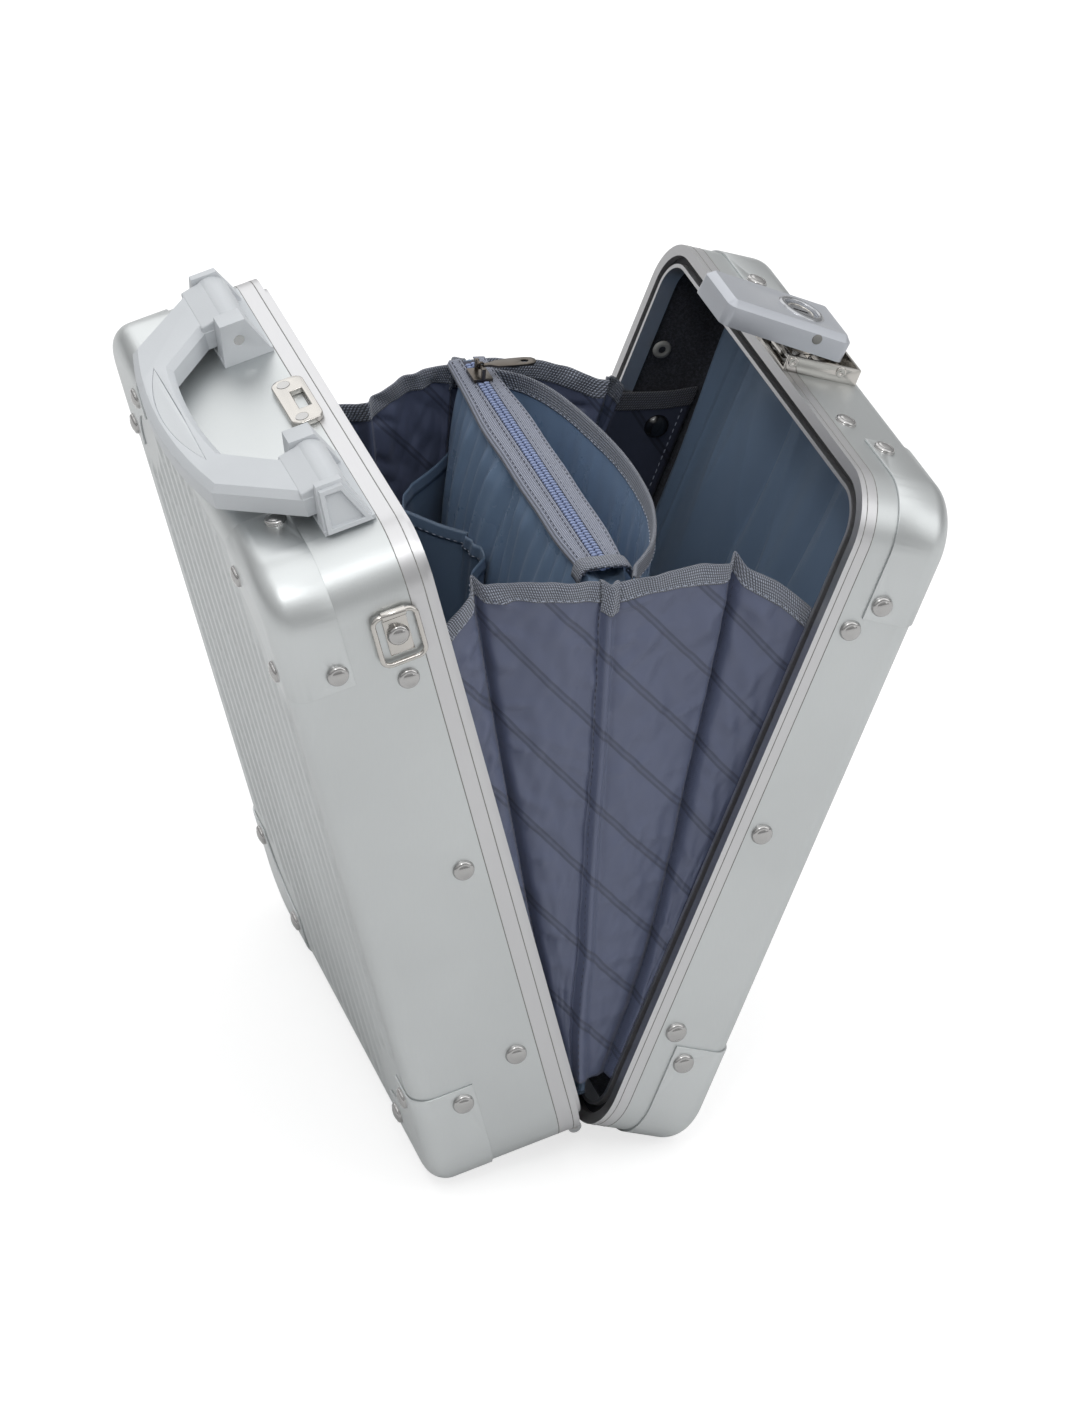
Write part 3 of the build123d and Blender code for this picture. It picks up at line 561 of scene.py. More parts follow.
# Mesh helpers
def grid(across, along, shape, width, length):
    """Grid of cloth bent by shape(u, v), with its cut size in metres as UV."""
    mesh = bmesh.new()
    layer = mesh.loops.layers.uv.verify()
    bmesh.ops.create_grid(mesh, x_segments=across, y_segments=along, size=0.5, calc_uvs=True)
    for face in mesh.faces:
        for loop in face.loops:
            spot = loop.vert.co
            loop[layer].uv = ((spot.x + 0.5) * width, (spot.y + 0.5) * length)
    for vertex in mesh.verts:
        vertex.co = shape(vertex.co.x + 0.5, vertex.co.y + 0.5)
    return mesh


def make(name, mesh, material, matrix=None, turn=False):
    """Object from a bmesh, with its place in its mesh and, with turn, its faces outwards."""
    if matrix is not None:
        mesh.transform(matrix)
    if turn:
        bmesh.ops.recalc_face_normals(mesh, faces=mesh.faces)
    data = bpy.data.meshes.new(name)
    mesh.to_mesh(data)
    mesh.free()
    data.shade_smooth()
    made = bpy.data.objects.new(name, data)
    bpy.context.scene.collection.objects.link(made)
    made.data.materials.append(material)
    return made


def thicken(piece, thickness, offset=0, rounds=0):
    """Give a sheet its thickness, rounded by subdivision, and apply both."""
    wall = piece.modifiers.new("thickness", "SOLIDIFY")
    wall.thickness = thickness * MM
    wall.offset = offset
    wall.use_even_offset = False
    if rounds:
        soft = piece.modifiers.new("softness", "SUBSURF")
        soft.levels = rounds
        soft.render_levels = rounds
    graph = bpy.context.evaluated_depsgraph_get()
    data = bpy.data.meshes.new_from_object(piece.evaluated_get(graph))
    piece.modifiers.clear()
    piece.data = data


def soften(piece, radius, segments=2, angle=30, harden=True):
    """Round the sharp edges of a piece."""
    edge = piece.modifiers.new("edges", "BEVEL")
    edge.width = radius * MM
    edge.segments = segments
    edge.limit_method = "ANGLE"
    edge.angle_limit = radians(angle)
    edge.harden_normals = harden


def fasten(piece, body, slot, *nodes):
    """Let the piece ride, name its slot, and hide the plain solids it stands for."""
    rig.ride(piece, body)
    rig.slot(piece, slot)
    if nodes:
        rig.replaces(piece, *nodes)
    return piece


def hinge_blend(piece, slot):
    """Name the slot of cloth that spans the two shells, and let it fold with the hinge."""
    reach = 0.2
    points = {}
    for side, tilt in ((HANDLE, -OPENING / 2), (LOCK, OPENING / 2)):
        lean = LEANS[MIDDLE] + tilt
        points[side] = HINGE + Vector((reach * sin(lean), 0, reach * cos(lean)))
    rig.slot(piece, slot)
    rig.blend(piece, "handle_shell", "lock_shell", start=points[HANDLE], end=points[LOCK])
    return piece


def merged_copy(node, gap):
    """Mesh of a CAD node with its loose corners joined."""
    mesh = bmesh.new()
    mesh.from_mesh(frame["nodes"][node].data)
    bmesh.ops.remove_doubles(mesh, verts=mesh.verts, dist=gap)
    return mesh


def rounded_copy(node, name, material, slot, radius, segments=2, angle=30):
    """Moulding that stands for a CAD node, with its sharp edges rounded."""
    mesh = merged_copy(node, 0.000002)
    bmesh.ops.dissolve_limit(mesh, angle_limit=radians(1), verts=mesh.verts, edges=mesh.edges)
    piece = make(name, mesh, material)
    soften(piece, radius, segments, angle)
    body = next(body for body, nodes in frame["record"]["behaviour"]["bodies"].items() if node in nodes)
    fasten(piece, body, slot, node)


def spun(mesh, centre, axis, around):
    """Spin a profile about the z axis and set it on a centre, along an axis."""
    bmesh.ops.spin(
        mesh, geom=mesh.verts[:] + mesh.edges[:], cent=(0, 0, 0), axis=(0, 0, 1),
        angle=2 * pi, steps=around, use_merge=True,
    )
    bmesh.ops.remove_doubles(mesh, verts=mesh.verts, dist=0.001)
    aim = Vector((0, 0, 1)).rotation_difference(Vector(axis)).to_matrix().to_4x4()
    mesh.transform(Matrix.Translation(Vector(centre)) @ aim)
    return mesh


def ring_of(radius, wire, centre, axis, around, sides):
    """Round ring of round wire."""
    mesh = bmesh.new()
    bmesh.ops.create_circle(mesh, segments=sides, radius=wire)
    bmesh.ops.rotate(mesh, verts=mesh.verts, matrix=Matrix.Rotation(pi / 2, 3, "X"))
    bmesh.ops.translate(mesh, verts=mesh.verts, vec=(radius, 0, 0))
    return spun(mesh, centre, axis, around)


def turned(profile, centre, axis, around=40):
    """Solid of revolution from a (radius, height) profile."""
    mesh = bmesh.new()
    line = [mesh.verts.new((radius, 0, height)) for radius, height in profile]
    for first, last in zip(line, line[1:]):
        mesh.edges.new((first, last))
    return spun(mesh, centre, axis, around)


def draw_out(mesh, way):
    """Extrude the faces of a flat mesh into a solid."""
    drawn = bmesh.ops.extrude_face_region(mesh, geom=mesh.faces[:])
    moved = [part for part in drawn["geom"] if isinstance(part, bmesh.types.BMVert)]
    bmesh.ops.translate(mesh, vec=way, verts=moved)


def prism(outline, low, high, base=0):
    """Outline of (depth, rise) points, from base above the case's top, drawn out in width."""
    mesh = bmesh.new()
    corners = [mesh.verts.new((depth, low, CASE_TOP + base + rise)) for depth, rise in outline]
    mesh.faces.new(corners)
    draw_out(mesh, (0, high - low, 0))
    bmesh.ops.recalc_face_normals(mesh, faces=mesh.faces)
    return mesh


def bead(size, centre):
    """Small ellipsoid of few faces, from its half sizes."""
    mesh = bmesh.new()
    bmesh.ops.create_uvsphere(mesh, u_segments=6, v_segments=5, radius=1)
    mesh.transform(Matrix.Translation(centre) @ Matrix.Diagonal((*size, 1)))
    return mesh


def join(meshes):
    """One bmesh from several."""
    whole = bmesh.new()
    for mesh in meshes:
        data = bpy.data.meshes.new("part")
        mesh.to_mesh(data)
        mesh.free()
        whole.from_mesh(data)
        bpy.data.meshes.remove(data)
    return whole


def stitches(name, points, normal, material, length=2.4, gap=1.3, thread=0.28):
    """Row of raised thread stitches along a line of points, in metres."""
    meshes = []
    travelled = 0.0
    pitch = (length + gap) * MM
    next_start = pitch / 2
    for start, end in zip(points, points[1:]):
        run = (end - start).length
        while run and next_start <= travelled + run:
            spot = start.lerp(end, (next_start - travelled) / run)
            lie = (end - start).normalized()
            side = normal.cross(lie).normalized()
            up = lie.cross(side)
            stitch = bead((thread * MM, thread * MM, length * MM / 2), (0, 0, 0))
            stitch.transform(Matrix.Translation(spot + up * thread * MM * 0.3)
                             @ Matrix((side, up, lie)).transposed().to_4x4())
            meshes.append(stitch)
            next_start += pitch
        travelled += run
    return make(name, join(meshes), material)


# Settings that a user may change
class MetalLooks(bpy.types.PropertyGroup):
    pan_colour: bpy.props.FloatVectorProperty(
        name="Pan", description="Anodised colour of the pans and caps", subtype="COLOR", size=4,
        min=0, max=1, default=(0.60, 0.622, 0.625, 1))
    frame_colour: bpy.props.FloatVectorProperty(
        name="Frame", description="Colour of the two frames", subtype="COLOR", size=4,
        min=0, max=1, default=(0.62, 0.62, 0.63, 1))
    pan_roughness: bpy.props.FloatProperty(
        name="Roughness", description="Roughness of the pans", default=0.42, min=0, max=1, subtype="FACTOR")
    rib_pitch: bpy.props.FloatProperty(
        name="Rib pitch", description="Distance between the pressed ribs", default=15.5 * MM,
        unit="LENGTH", subtype="DISTANCE")
    rib_height: bpy.props.FloatProperty(
        name="Rib height", description="Height of the pressed ribs", default=0.9 * MM,
        unit="LENGTH", subtype="DISTANCE")


class ClothLooks(bpy.types.PropertyGroup):
    gusset_colour: bpy.props.FloatVectorProperty(
        name="Gussets", description="Nylon of the gussets", subtype="COLOR", size=4,
        min=0, max=1, default=(0.096, 0.113, 0.182, 1))
    pocket_colour: bpy.props.FloatVectorProperty(
        name="Pockets", description="Satin of the pockets and linings", subtype="COLOR", size=4,
        min=0, max=1, default=(0.17, 0.245, 0.36, 1))
    binding_colour: bpy.props.FloatVectorProperty(
        name="Binding", description="Webbing that binds the edges", subtype="COLOR", size=4,
        min=0, max=1, default=(0.27, 0.295, 0.36, 1))
    binding_width: bpy.props.FloatProperty(
        name="Binding width", description="Width of the binding on each face", default=8.6 * MM,
        unit="LENGTH", subtype="DISTANCE")
    fold_depth: bpy.props.FloatProperty(
        name="Fold depth", description="How far the gusset's folds are pinched in", default=12 * MM,
        unit="LENGTH", subtype="DISTANCE")


class StageLooks(bpy.types.PropertyGroup):
    floor_colour: bpy.props.FloatVectorProperty(
        name="Floor", description="Colour of the floor", subtype="COLOR", size=4,
        min=0, max=1, default=(0.80, 0.80, 0.80, 1))
    overhead_power: bpy.props.FloatProperty(
        name="Overhead", description="Power of the overhead lamp, in watts", default=11.5, min=0)
    side_power: bpy.props.FloatProperty(
        name="Side", description="Power of the side lamp, in watts", default=6, min=0)
    key_power: bpy.props.FloatProperty(
        name="Key", description="Power of the small lamp for the rivets' glint, in watts", default=4.5, min=0)
    back_power: bpy.props.FloatProperty(
        name="Back", description="Power of the panel behind the case, in watts", default=15, min=0)
    sky: bpy.props.FloatProperty(
        name="Surroundings", description="Brightness of the surroundings overhead", default=0.78, min=0)
    horizon: bpy.props.FloatProperty(
        name="Horizon", description="Brightness of the surroundings at the horizon", default=0.34, min=0)


# Finishes that several makers use, and those of the plain solids under their slots' names
materials = {}


class CASE_OT_metal(bpy.types.Operator):
    """Give every solid its finish"""

    bl_idname = "case.metal"
    bl_label = "Metal and plastic finishes"
    bl_options = {"REGISTER", "UNDO"}

    def execute(self, context):
        looks = context.scene.case_metal
        pan = looks.pan_colour[:]
        rough = looks.pan_roughness
        for side, name in SIDE_NAMES.items():
            materials[f"{name}_pan"] = satin_metal(f"{name}_pan_metal", pan, rough, side)
            materials[f"{name}_cap"] = satin_metal(
                f"{name}_cap_metal", shade(pan, 1.03), rough - 0.04, side, grain=(60, 60, 30))
            materials[f"{name}_frame"] = satin_metal(
                f"{name}_frame_metal", looks.frame_colour[:], 0.4, side, grain=(60, 4, 4), mottle=0.02)
        materials.update(
            rivet_steel=polished_metal("rivet_nickel", (0.47, 0.465, 0.46, 1), 0.15),
            hinge_steel=polished_metal("hinge_zinc", (0.52, 0.53, 0.54, 1), 0.32),
            nickel=polished_metal("warm_nickel", (0.57, 0.55, 0.52, 1), 0.16),
            key_metal=polished_metal("key_barrel_steel", (0.42, 0.43, 0.45, 1), 0.25),
            bronze=polished_metal("antique_bronze", (0.13, 0.115, 0.10, 1), 0.3),
            handle_plastic=moulded_plastic("handle_moulding", (0.565, 0.59, 0.615, 1), 0.45),
            insert_plastic=moulded_plastic("grip_moulding", (0.61, 0.635, 0.655, 1), 0.5),
            lock_plastic=moulded_plastic(
                "silver_lacquer", (0.46, 0.48, 0.52, 1), 0.36, grain=0.00002, coat=0.3, flakes=0.45),
            gasket_rubber=rubber("gasket_rubber", (0.012, 0.012, 0.015, 1)),
            dark_plug=moulded_plastic("grey_plug", (0.2, 0.2, 0.19, 1), 0.5),
            stud_black=moulded_plastic(
                "black_lacquer", (0.006, 0.006, 0.007, 1), 0.16, grain=0.00001, coat=0.8),
            loop_fabric=napped("loop_pile", (0.034, 0.036, 0.044, 1)),
            lining_fabric=napped("lining_board", (0.03, 0.033, 0.045, 1)),
        )
        for piece in frame["record"]["subparts"]:
            slot = piece["material_slot"]
            side_name = piece["node"].split("_")[0]
            key = {
                "pan_aluminium": f"{side_name}_pan",
                "cap_aluminium": f"{side_name}_cap",
                "frame_aluminium": f"{side_name}_frame",
            }.get(slot, slot)
            if key in materials:
                slots = frame["nodes"][piece["node"]].data.materials
                slots.clear()
                slots.append(materials[key])
        return {"FINISHED"}


class CASE_OT_ribs(bpy.types.Operator):
    """Press ribs into the two broad faces"""

    bl_idname = "case.ribs"
    bl_label = "Pressed ribs"
    bl_options = {"REGISTER", "UNDO"}

    inset = 15
    skin = 0.06
    plain_corner = 52
    stroke_pitch = 22

    def execute(self, context):
        looks = context.scene.case_metal
        pitch = looks.rib_pitch / MM
        height = looks.rib_height / MM
        low, high = CASE_BOTTOM + self.inset, CASE_TOP - self.inset
        half = HALF_WIDTH - self.inset
        for side, name in SIDE_NAMES.items():
            def pressed(u, v):
                width = (u * 2 - 1) * half
                level = low + v * (high - low)
                side_gap, end_gap = half - abs(width), min(level - low, high - level)
                corner_gap = sqrt(side_gap ** 2 + end_gap ** 2) - self.plain_corner
                fade = smooth_between(min(side_gap, end_gap), 0.5, 5) * smooth_between(corner_gap, 0, 8)
                rib = smooth_between(cos(2 * pi * width / pitch), -0.15, 0.55)
                across_stroke = (level * 0.8 + width * 1.6) % self.stroke_pitch - self.stroke_pitch / 2
                stroke = smooth_between(2.2 - abs(across_stroke), 0, 1.2) * (1 - rib)
                rise = self.skin + fade * height * (rib + 0.6 * stroke)
                return Vector((DEPTHS[side] + rise, width, level))

            mesh = grid(170, 190, pressed, 1, 1)
            piece = make(f"{name}_face_ribs", mesh, materials[f"{name}_pan"], place(side), True)
            fasten(piece, BODIES[side], "pan_aluminium")
        return {"FINISHED"}


# Mouldings with rounded edges: node, piece, slot, radius, segments and least angle of an edge
MOULDINGS = (
    ("handle_bar", "handle_moulding", "handle_plastic", 1.3, 3, 12),
    ("grip_insert", "grip_moulding", "insert_plastic", 0.5, 2, 30),
    ("bracket_near", "bracket_near_moulding", "handle_plastic", 0.9, 3, 30),
    ("ring_clip_near", "ring_clip_near_strip", "nickel", 0.3, 2, 30),
    ("bracket_far", "bracket_far_moulding", "handle_plastic", 0.9, 3, 30),
    ("ring_clip_far", "ring_clip_far_strip", "nickel", 0.3, 2, 30),
    ("lock_housing", "lock_housing_shell", "lock_plastic", 0.7, 3, 30),
    ("strike_plate", "strike_casting", "nickel", 0.6, 2, 30),
    ("lock_base", "lock_base_channel", "nickel", 0.3, 2, 30),
    ("zip_slider", "zip_slider_body", "bronze", 0.35, 2, 30),
)


class CASE_OT_mouldings(bpy.types.Operator):
    """Round the edges of the castings, caps and mouldings"""

    bl_idname = "case.mouldings"
    bl_label = "Rounded mouldings"
    bl_options = {"REGISTER", "UNDO"}

    def execute(self, context):
        for name in SIDE_NAMES.values():
            for level in ("top", "bottom"):
                for end in END_NAMES.values():
                    node = f"{name}_cap_{level}_{end}"
                    rounded_copy(node, f"{node}_pressing", materials[f"{name}_cap"], "cap_aluminium", 0.45)
        for node, name, slot, radius, segments, angle in MOULDINGS:
            rounded_copy(node, name, materials[slot], slot, radius, segments, angle)
        return {"FINISHED"}


def around_case(share, out):
    """Point of the closed case's outline, out beyond it, as width and height."""
    runs = (CASE_TOP - CASE_BOTTOM - 2 * PLAN_RADIUS, 2 * (HALF_WIDTH - PLAN_RADIUS)) * 2
    arc = pi / 2 * PLAN_RADIUS
    travelled = share * (sum(runs) + 4 * arc)
    spot = Vector((HALF_WIDTH, CASE_BOTTOM + PLAN_RADIUS))
    for corner, run in enumerate(runs):
        heading = pi / 2 * (corner + 1)
        ahead = Vector((cos(heading), sin(heading)))
        facing = Vector((sin(heading), -cos(heading)))
        if travelled <= run:
            return spot + ahead * travelled + facing * out
        travelled -= run
        centre = spot + ahead * run - facing * PLAN_RADIUS
        if travelled <= arc or corner == 3:
            turn = travelled / PLAN_RADIUS
            return centre + (facing * cos(turn) + ahead * sin(turn)) * (PLAN_RADIUS + out)
        travelled -= arc
        spot = centre + ahead * PLAN_RADIUS


class CASE_OT_shadow_lines(bpy.types.Operator):
    """Run thin dark lines round the frames as painted shadow in their gaps, and add the brackets' panels and the arms'
    fairings
    """

    bl_idname = "case.seams"
    bl_label = "Painted shadow lines round the frames, bracket panels and arm fairings"
    bl_options = {"REGISTER", "UNDO"}

    shadow_line_radius = 0.24
    shadow_line_depths = {HANDLE: {"outer": 10.4, "inner": 3.2}, LOCK: {"outer": 8.0, "inner": 2.9}}
    bracket_foot = 109.0
    bracket_slope = 1 / 3
    arm_inner = 61.7
    arm_outer = 97.3
    arm_base = 11.5

    def execute(self, context):
        for side, depths in self.shadow_line_depths.items():
            for label, depth in depths.items():
                self.add_shadow_line(side, label, depth)
        for end, name in END_NAMES.items():
            self.add_bracket_panel(end, name)
            self.add_arm_fairing(end, name)
        return {"FINISHED"}

    def add_shadow_line(self, side, label, depth):
        """Dark line round a frame: painted shadow in a gap of the frame."""
        def seam(u, v):
            angle = 2 * pi * u
            spot = around_case(v, self.shadow_line_radius * cos(angle) * 0.5)
            return Vector((depth + self.shadow_line_radius * sin(angle), spot.x, spot.y))

        mesh = grid(8, 320, seam, 0.002, 1.2)
        bmesh.ops.remove_doubles(mesh, verts=mesh.verts, dist=0.002)
        name = f"{SIDE_NAMES[side]}_frame_shadow_line_{label}"
        # The grey plug finish stands here for shadow in the gap, not for a rubber seam.
        piece = make(name, mesh, materials["dark_plug"], place(side), True)
        fasten(piece, BODIES[side], "gasket_rubber")

    def add_bracket_panel(self, end, name):
        """Recessed panel on the outer face of a bracket."""
        mesh = prism(((12.4, 1.2), (33.4, 1.2), (31.4, 19.4), (20.8, 19.4)), 0, 1)
        proud, sunk = 2.2, -0.3
        for vertex in mesh.verts:
            lift = proud if vertex.co.y > 0.5 else sunk
            rise = vertex.co.z - CASE_TOP
            vertex.co.y = end * (self.bracket_foot - rise * self.bracket_slope + lift)
        mesh.normal_update()
        bmesh.ops.recalc_face_normals(mesh, faces=mesh.faces)
        face = max(mesh.faces, key=lambda part: end * part.normal.y)
        for rim, depth in ((2.1, 0), (0.5, -2.0)):
            bmesh.ops.inset_region(mesh, faces=[face], thickness=rim, depth=depth, use_even_offset=True)
        piece = make(f"bracket_{name}_panel", mesh, materials["handle_plastic"], place(HANDLE), True)
        soften(piece, 0.3)
        fasten(piece, "handle_shell", "handle_plastic")

    def add_arm_fairing(self, end, name):
        """Thick outer edge on an arm of the handle."""
        outline = ((25, 8.5), (38.4, 5.6), (38.4, 1), (25, 1))
        mesh = prism(outline, self.arm_inner, self.arm_outer, self.arm_base)
        for vertex in mesh.verts:
            vertex.co.y *= end
        piece = make(f"handle_arm_{name}_fairing", mesh, materials["handle_plastic"], place(HANDLE), True)
        soften(piece, 0.8)
        fasten(piece, "carry_handle", "handle_plastic")


# Nodes whose rivets get a dome
RIVET_NODES = {
    HANDLE: ("handle_cap_rivets", "handle_frame_rivets", "ring_rivets"),
    LOCK: ("lock_cap_rivets", "lock_frame_rivets"),
}


def islands(mesh):
    """Corners of each loose part of a mesh."""
    seen = set()
    for vertex in mesh.verts:
        if vertex not in seen:
            group = [vertex]
            seen.add(vertex)
            for corner in group:
                for edge in corner.link_edges:
                    other = edge.other_vert(corner)
                    if other not in seen:
                        seen.add(other)
                        group.append(other)
            yield [corner.co.copy() for corner in group]


def rivet_top(corners, ways):
    """Top of a rivet's head and the way it points, found from the head's wider rim."""
    middle = sum(corners, Vector()) / len(corners)

    def off_axis(corner, way):
        return (corner - middle - way * (corner - middle).dot(way)).length

    way = min(ways, key=lambda each: max(off_axis(corner, each) for corner in corners))
    rises = [(corner - middle).dot(way) for corner in corners]
    reach = max(off_axis(corner, way) for corner in corners)
    rim = [rise for corner, rise in zip(corners, rises) if off_axis(corner, way) > 0.9 * reach]
    if 2 * sum(rim) / len(rim) < max(rises) + min(rises):
        return middle + way * min(rises), -way
    return middle + way * max(rises), way


class CASE_OT_rivets(bpy.types.Operator):
    """Spin a full dome over the head of every rivet"""

    bl_idname = "case.rivets"
    bl_label = "Rivet heads"
    bl_options = {"REGISTER", "UNDO"}

    def execute(self, context):
        for side, nodes in RIVET_NODES.items():
            ways = [direction(side, axis) for axis in ((1, 0, 0), (0, 1, 0), (0, 0, 1))]
            for node in nodes:
                mesh = merged_copy(node, 0.00001)
                domes = []
                for corners in islands(mesh):
                    top, way = rivet_top(corners, ways)
                    domes.append(turned(HEAD_DOME, top / MM, way, 28))
                mesh.free()
                scale = Matrix.Scale(MM, 4)
                piece = make(f"{node}_domes", join(domes), materials["rivet_steel"], scale, True)
                fasten(piece, BODIES[side], "rivet_steel")
        return {"FINISHED"}


# Gussets. The fan's share runs from the handle side to the lock side, and a fold's line gives its angle
# in degrees at distances from the hinge. Heights and pinches are those at the folds, and the stripes'
# pattern is counted from STRIPE_START.
GUSSET_BOTTOM = 34.0
GUSSET_TUCK = 2.0
FOLD_SHARES = (0.0, 0.14, 0.46, 0.79, 1.0)
SEWN_FOLDS = (1, 3)
MIDDLE_FOLD = 2
FOLD_LINES = {
    NEAR: (
        ((40, -15.6), (160, -14.2), (302, -13.2)),
        ((38, -8.0), (100, -3.4), (200, -2.2), (300, -1.9)),
        ((36, 16.6), (87, 15.6), (184, 12.0), (300, 10.2)),
    ),
    FAR: (
        ((40, -13.5), (160, -11.2), (302, -10.4)),
        ((38, -1.5), (200, -0.9), (300, -0.7)),
        ((36, 16.6), (87, 16.0), (184, 15.0), (300, 14.3)),
    ),
}
RIM_HEIGHTS = {NEAR: (288, 300, 292, 296, 283), FAR: (262, 268, 277, 273, 268)}
PINCH = (0.0, 1.0, 0.2, 1.0, 0.0)
STRIPE_START = 4.4

# Relief of the gussets' cloth; the middle fold's is given as heights, places and half widths
FLAT_SPAN = 190
FULL_RADIUS = 290
PILLOW = 4.2
SEAM_DEPTH = 4.2
RIM_BOW = 2.2
EAR = 3.4
MIDDLE_RELIEF = ((3.8, 0, 2.3), (-2.0, -2.9, 1.7), (-1.6, -9, 9), (-0.8, 2.9, 1.6))


def fan_value(values, share):
    """Value at a share of the fan, straight between the folds."""
    return straight_line(tuple(zip(FOLD_SHARES, values)), share)


def between_folds(share):
    """0 at the folds and 1 halfway between two of them."""
    for first, last in zip(FOLD_SHARES, FOLD_SHARES[1:]):
        if first <= share <= last:
            return sin(pi * (share - first) / (last - first))
    return 0.0


def gusset_top(end, share):
    """Height of the gusset's top edge along the fan, bowed between the folds and raised at the sewn ones."""
    ears = sum(EAR * bell((share - FOLD_SHARES[fold]) / 0.011) for fold in SEWN_FOLDS)
    return fan_value(RIM_HEIGHTS[end], share) + RIM_BOW * between_folds(share) + ears


def gusset_relief(end, share, radius):
    """How far pillows, wrinkles, pulls, seams and the middle ridge lift the cloth from its panels."""
    grown = min(1, radius / FULL_RADIUS)
    spread = (share - FOLD_SHARES[MIDDLE_FOLD]) * FLAT_SPAN * grown
    relief = sum(height * bell((spread - middle) / half) for height, middle, half in MIDDLE_RELIEF)
    pull = crease(spread * 0.014, radius * 0.046 - abs(spread) * 0.018, end * 9)
    pulls = 2.6 * pull * bell((abs(spread) - 8) / 13) * (1 - bell(spread / 3))
    for fold in SEWN_FOLDS:
        away = (share - FOLD_SHARES[fold]) * FLAT_SPAN * grown
        relief -= SEAM_DEPTH * bell(away / 2.2)
        pull = crease(away * 0.016, radius * 0.05 + abs(away) * 0.02, end * 3 + fold)
        pulls += 2.8 * pull * bell((abs(away) - 7) / 11) * (1 - bell(away / 2))
    wrinkles = wrinkle(3.0, share * 7, radius * 0.02, end * 3)
    wrinkles += wrinkle(2.4, share * 16 + radius * 0.03, radius * 0.045, end * 5)
    wrinkles += wrinkle(1.7, share * 22 - radius * 0.05, radius * 0.08, end * 8)
    pillow = between_folds(share) ** 0.8
    edge = smooth_between(share, 0, 0.04) * smooth_between(1 - share, 0, 0.04)
    return (grown * (pillow * (PILLOW + wrinkles) + pulls) + relief) * edge


def gusset_spot(end, share, radius, lift, depth):
    """Point of the gusset at a share of the fan and a distance from the hinge."""
    rim = degrees(OPENING / 2 + GUSSET_TUCK / radius)
    lines = [straight_line(line, radius) for line in FOLD_LINES[end]]
    angle = radians(fan_value([-rim, *lines, rim], share))
    pinch = depth * fan_value(PINCH, share) * min(1, radius / FULL_RADIUS)
    out = 0.6 + gusset_relief(end, share, radius) + lift - pinch
    return Vector((radius * sin(angle), end * (GUSSET_PLANE + out), radius * cos(angle)))


def map_fan(mesh):
    """UV map of a gusset, in metres, that lets the woven stripes run straight across its folds."""
    layer = mesh.loops.layers.uv.verify()
    for face in mesh.faces:
        for loop in face.loops:
            spot = loop.vert.co
            loop[layer].uv = (spot.x * MM, (spot.z - STRIPE_START) * MM)
    return mesh


def bound_edge(name, edge, material, width, matrix, steps):
    """Webbing folded over an edge: edge(share, drop, lift) gives points below and beside it."""
    turn, shoulder, half, crown = 1.0, 0.45, 0.75, 0.4
    front = [(drop / 4 * width, half) for drop in (4, 3, 2, 1)] + [(-shoulder, half), (-turn, crown)]
    profile = front + [(drop, -lift) for drop, lift in reversed(front)]
    last = len(profile) - 1

    def shape(u, v):
        return edge(v, *profile[round(u * last)])

    points = [matrix @ edge(index / steps, 0, 0) for index in range(steps + 1)]
    length = sum((second - first).length for first, second in zip(points, points[1:]))
    piece = make(name, grid(last, steps, shape, 2 * (width + turn) * MM, length), material, matrix)
    thicken(piece, 0.55, rounds=1)
    return piece


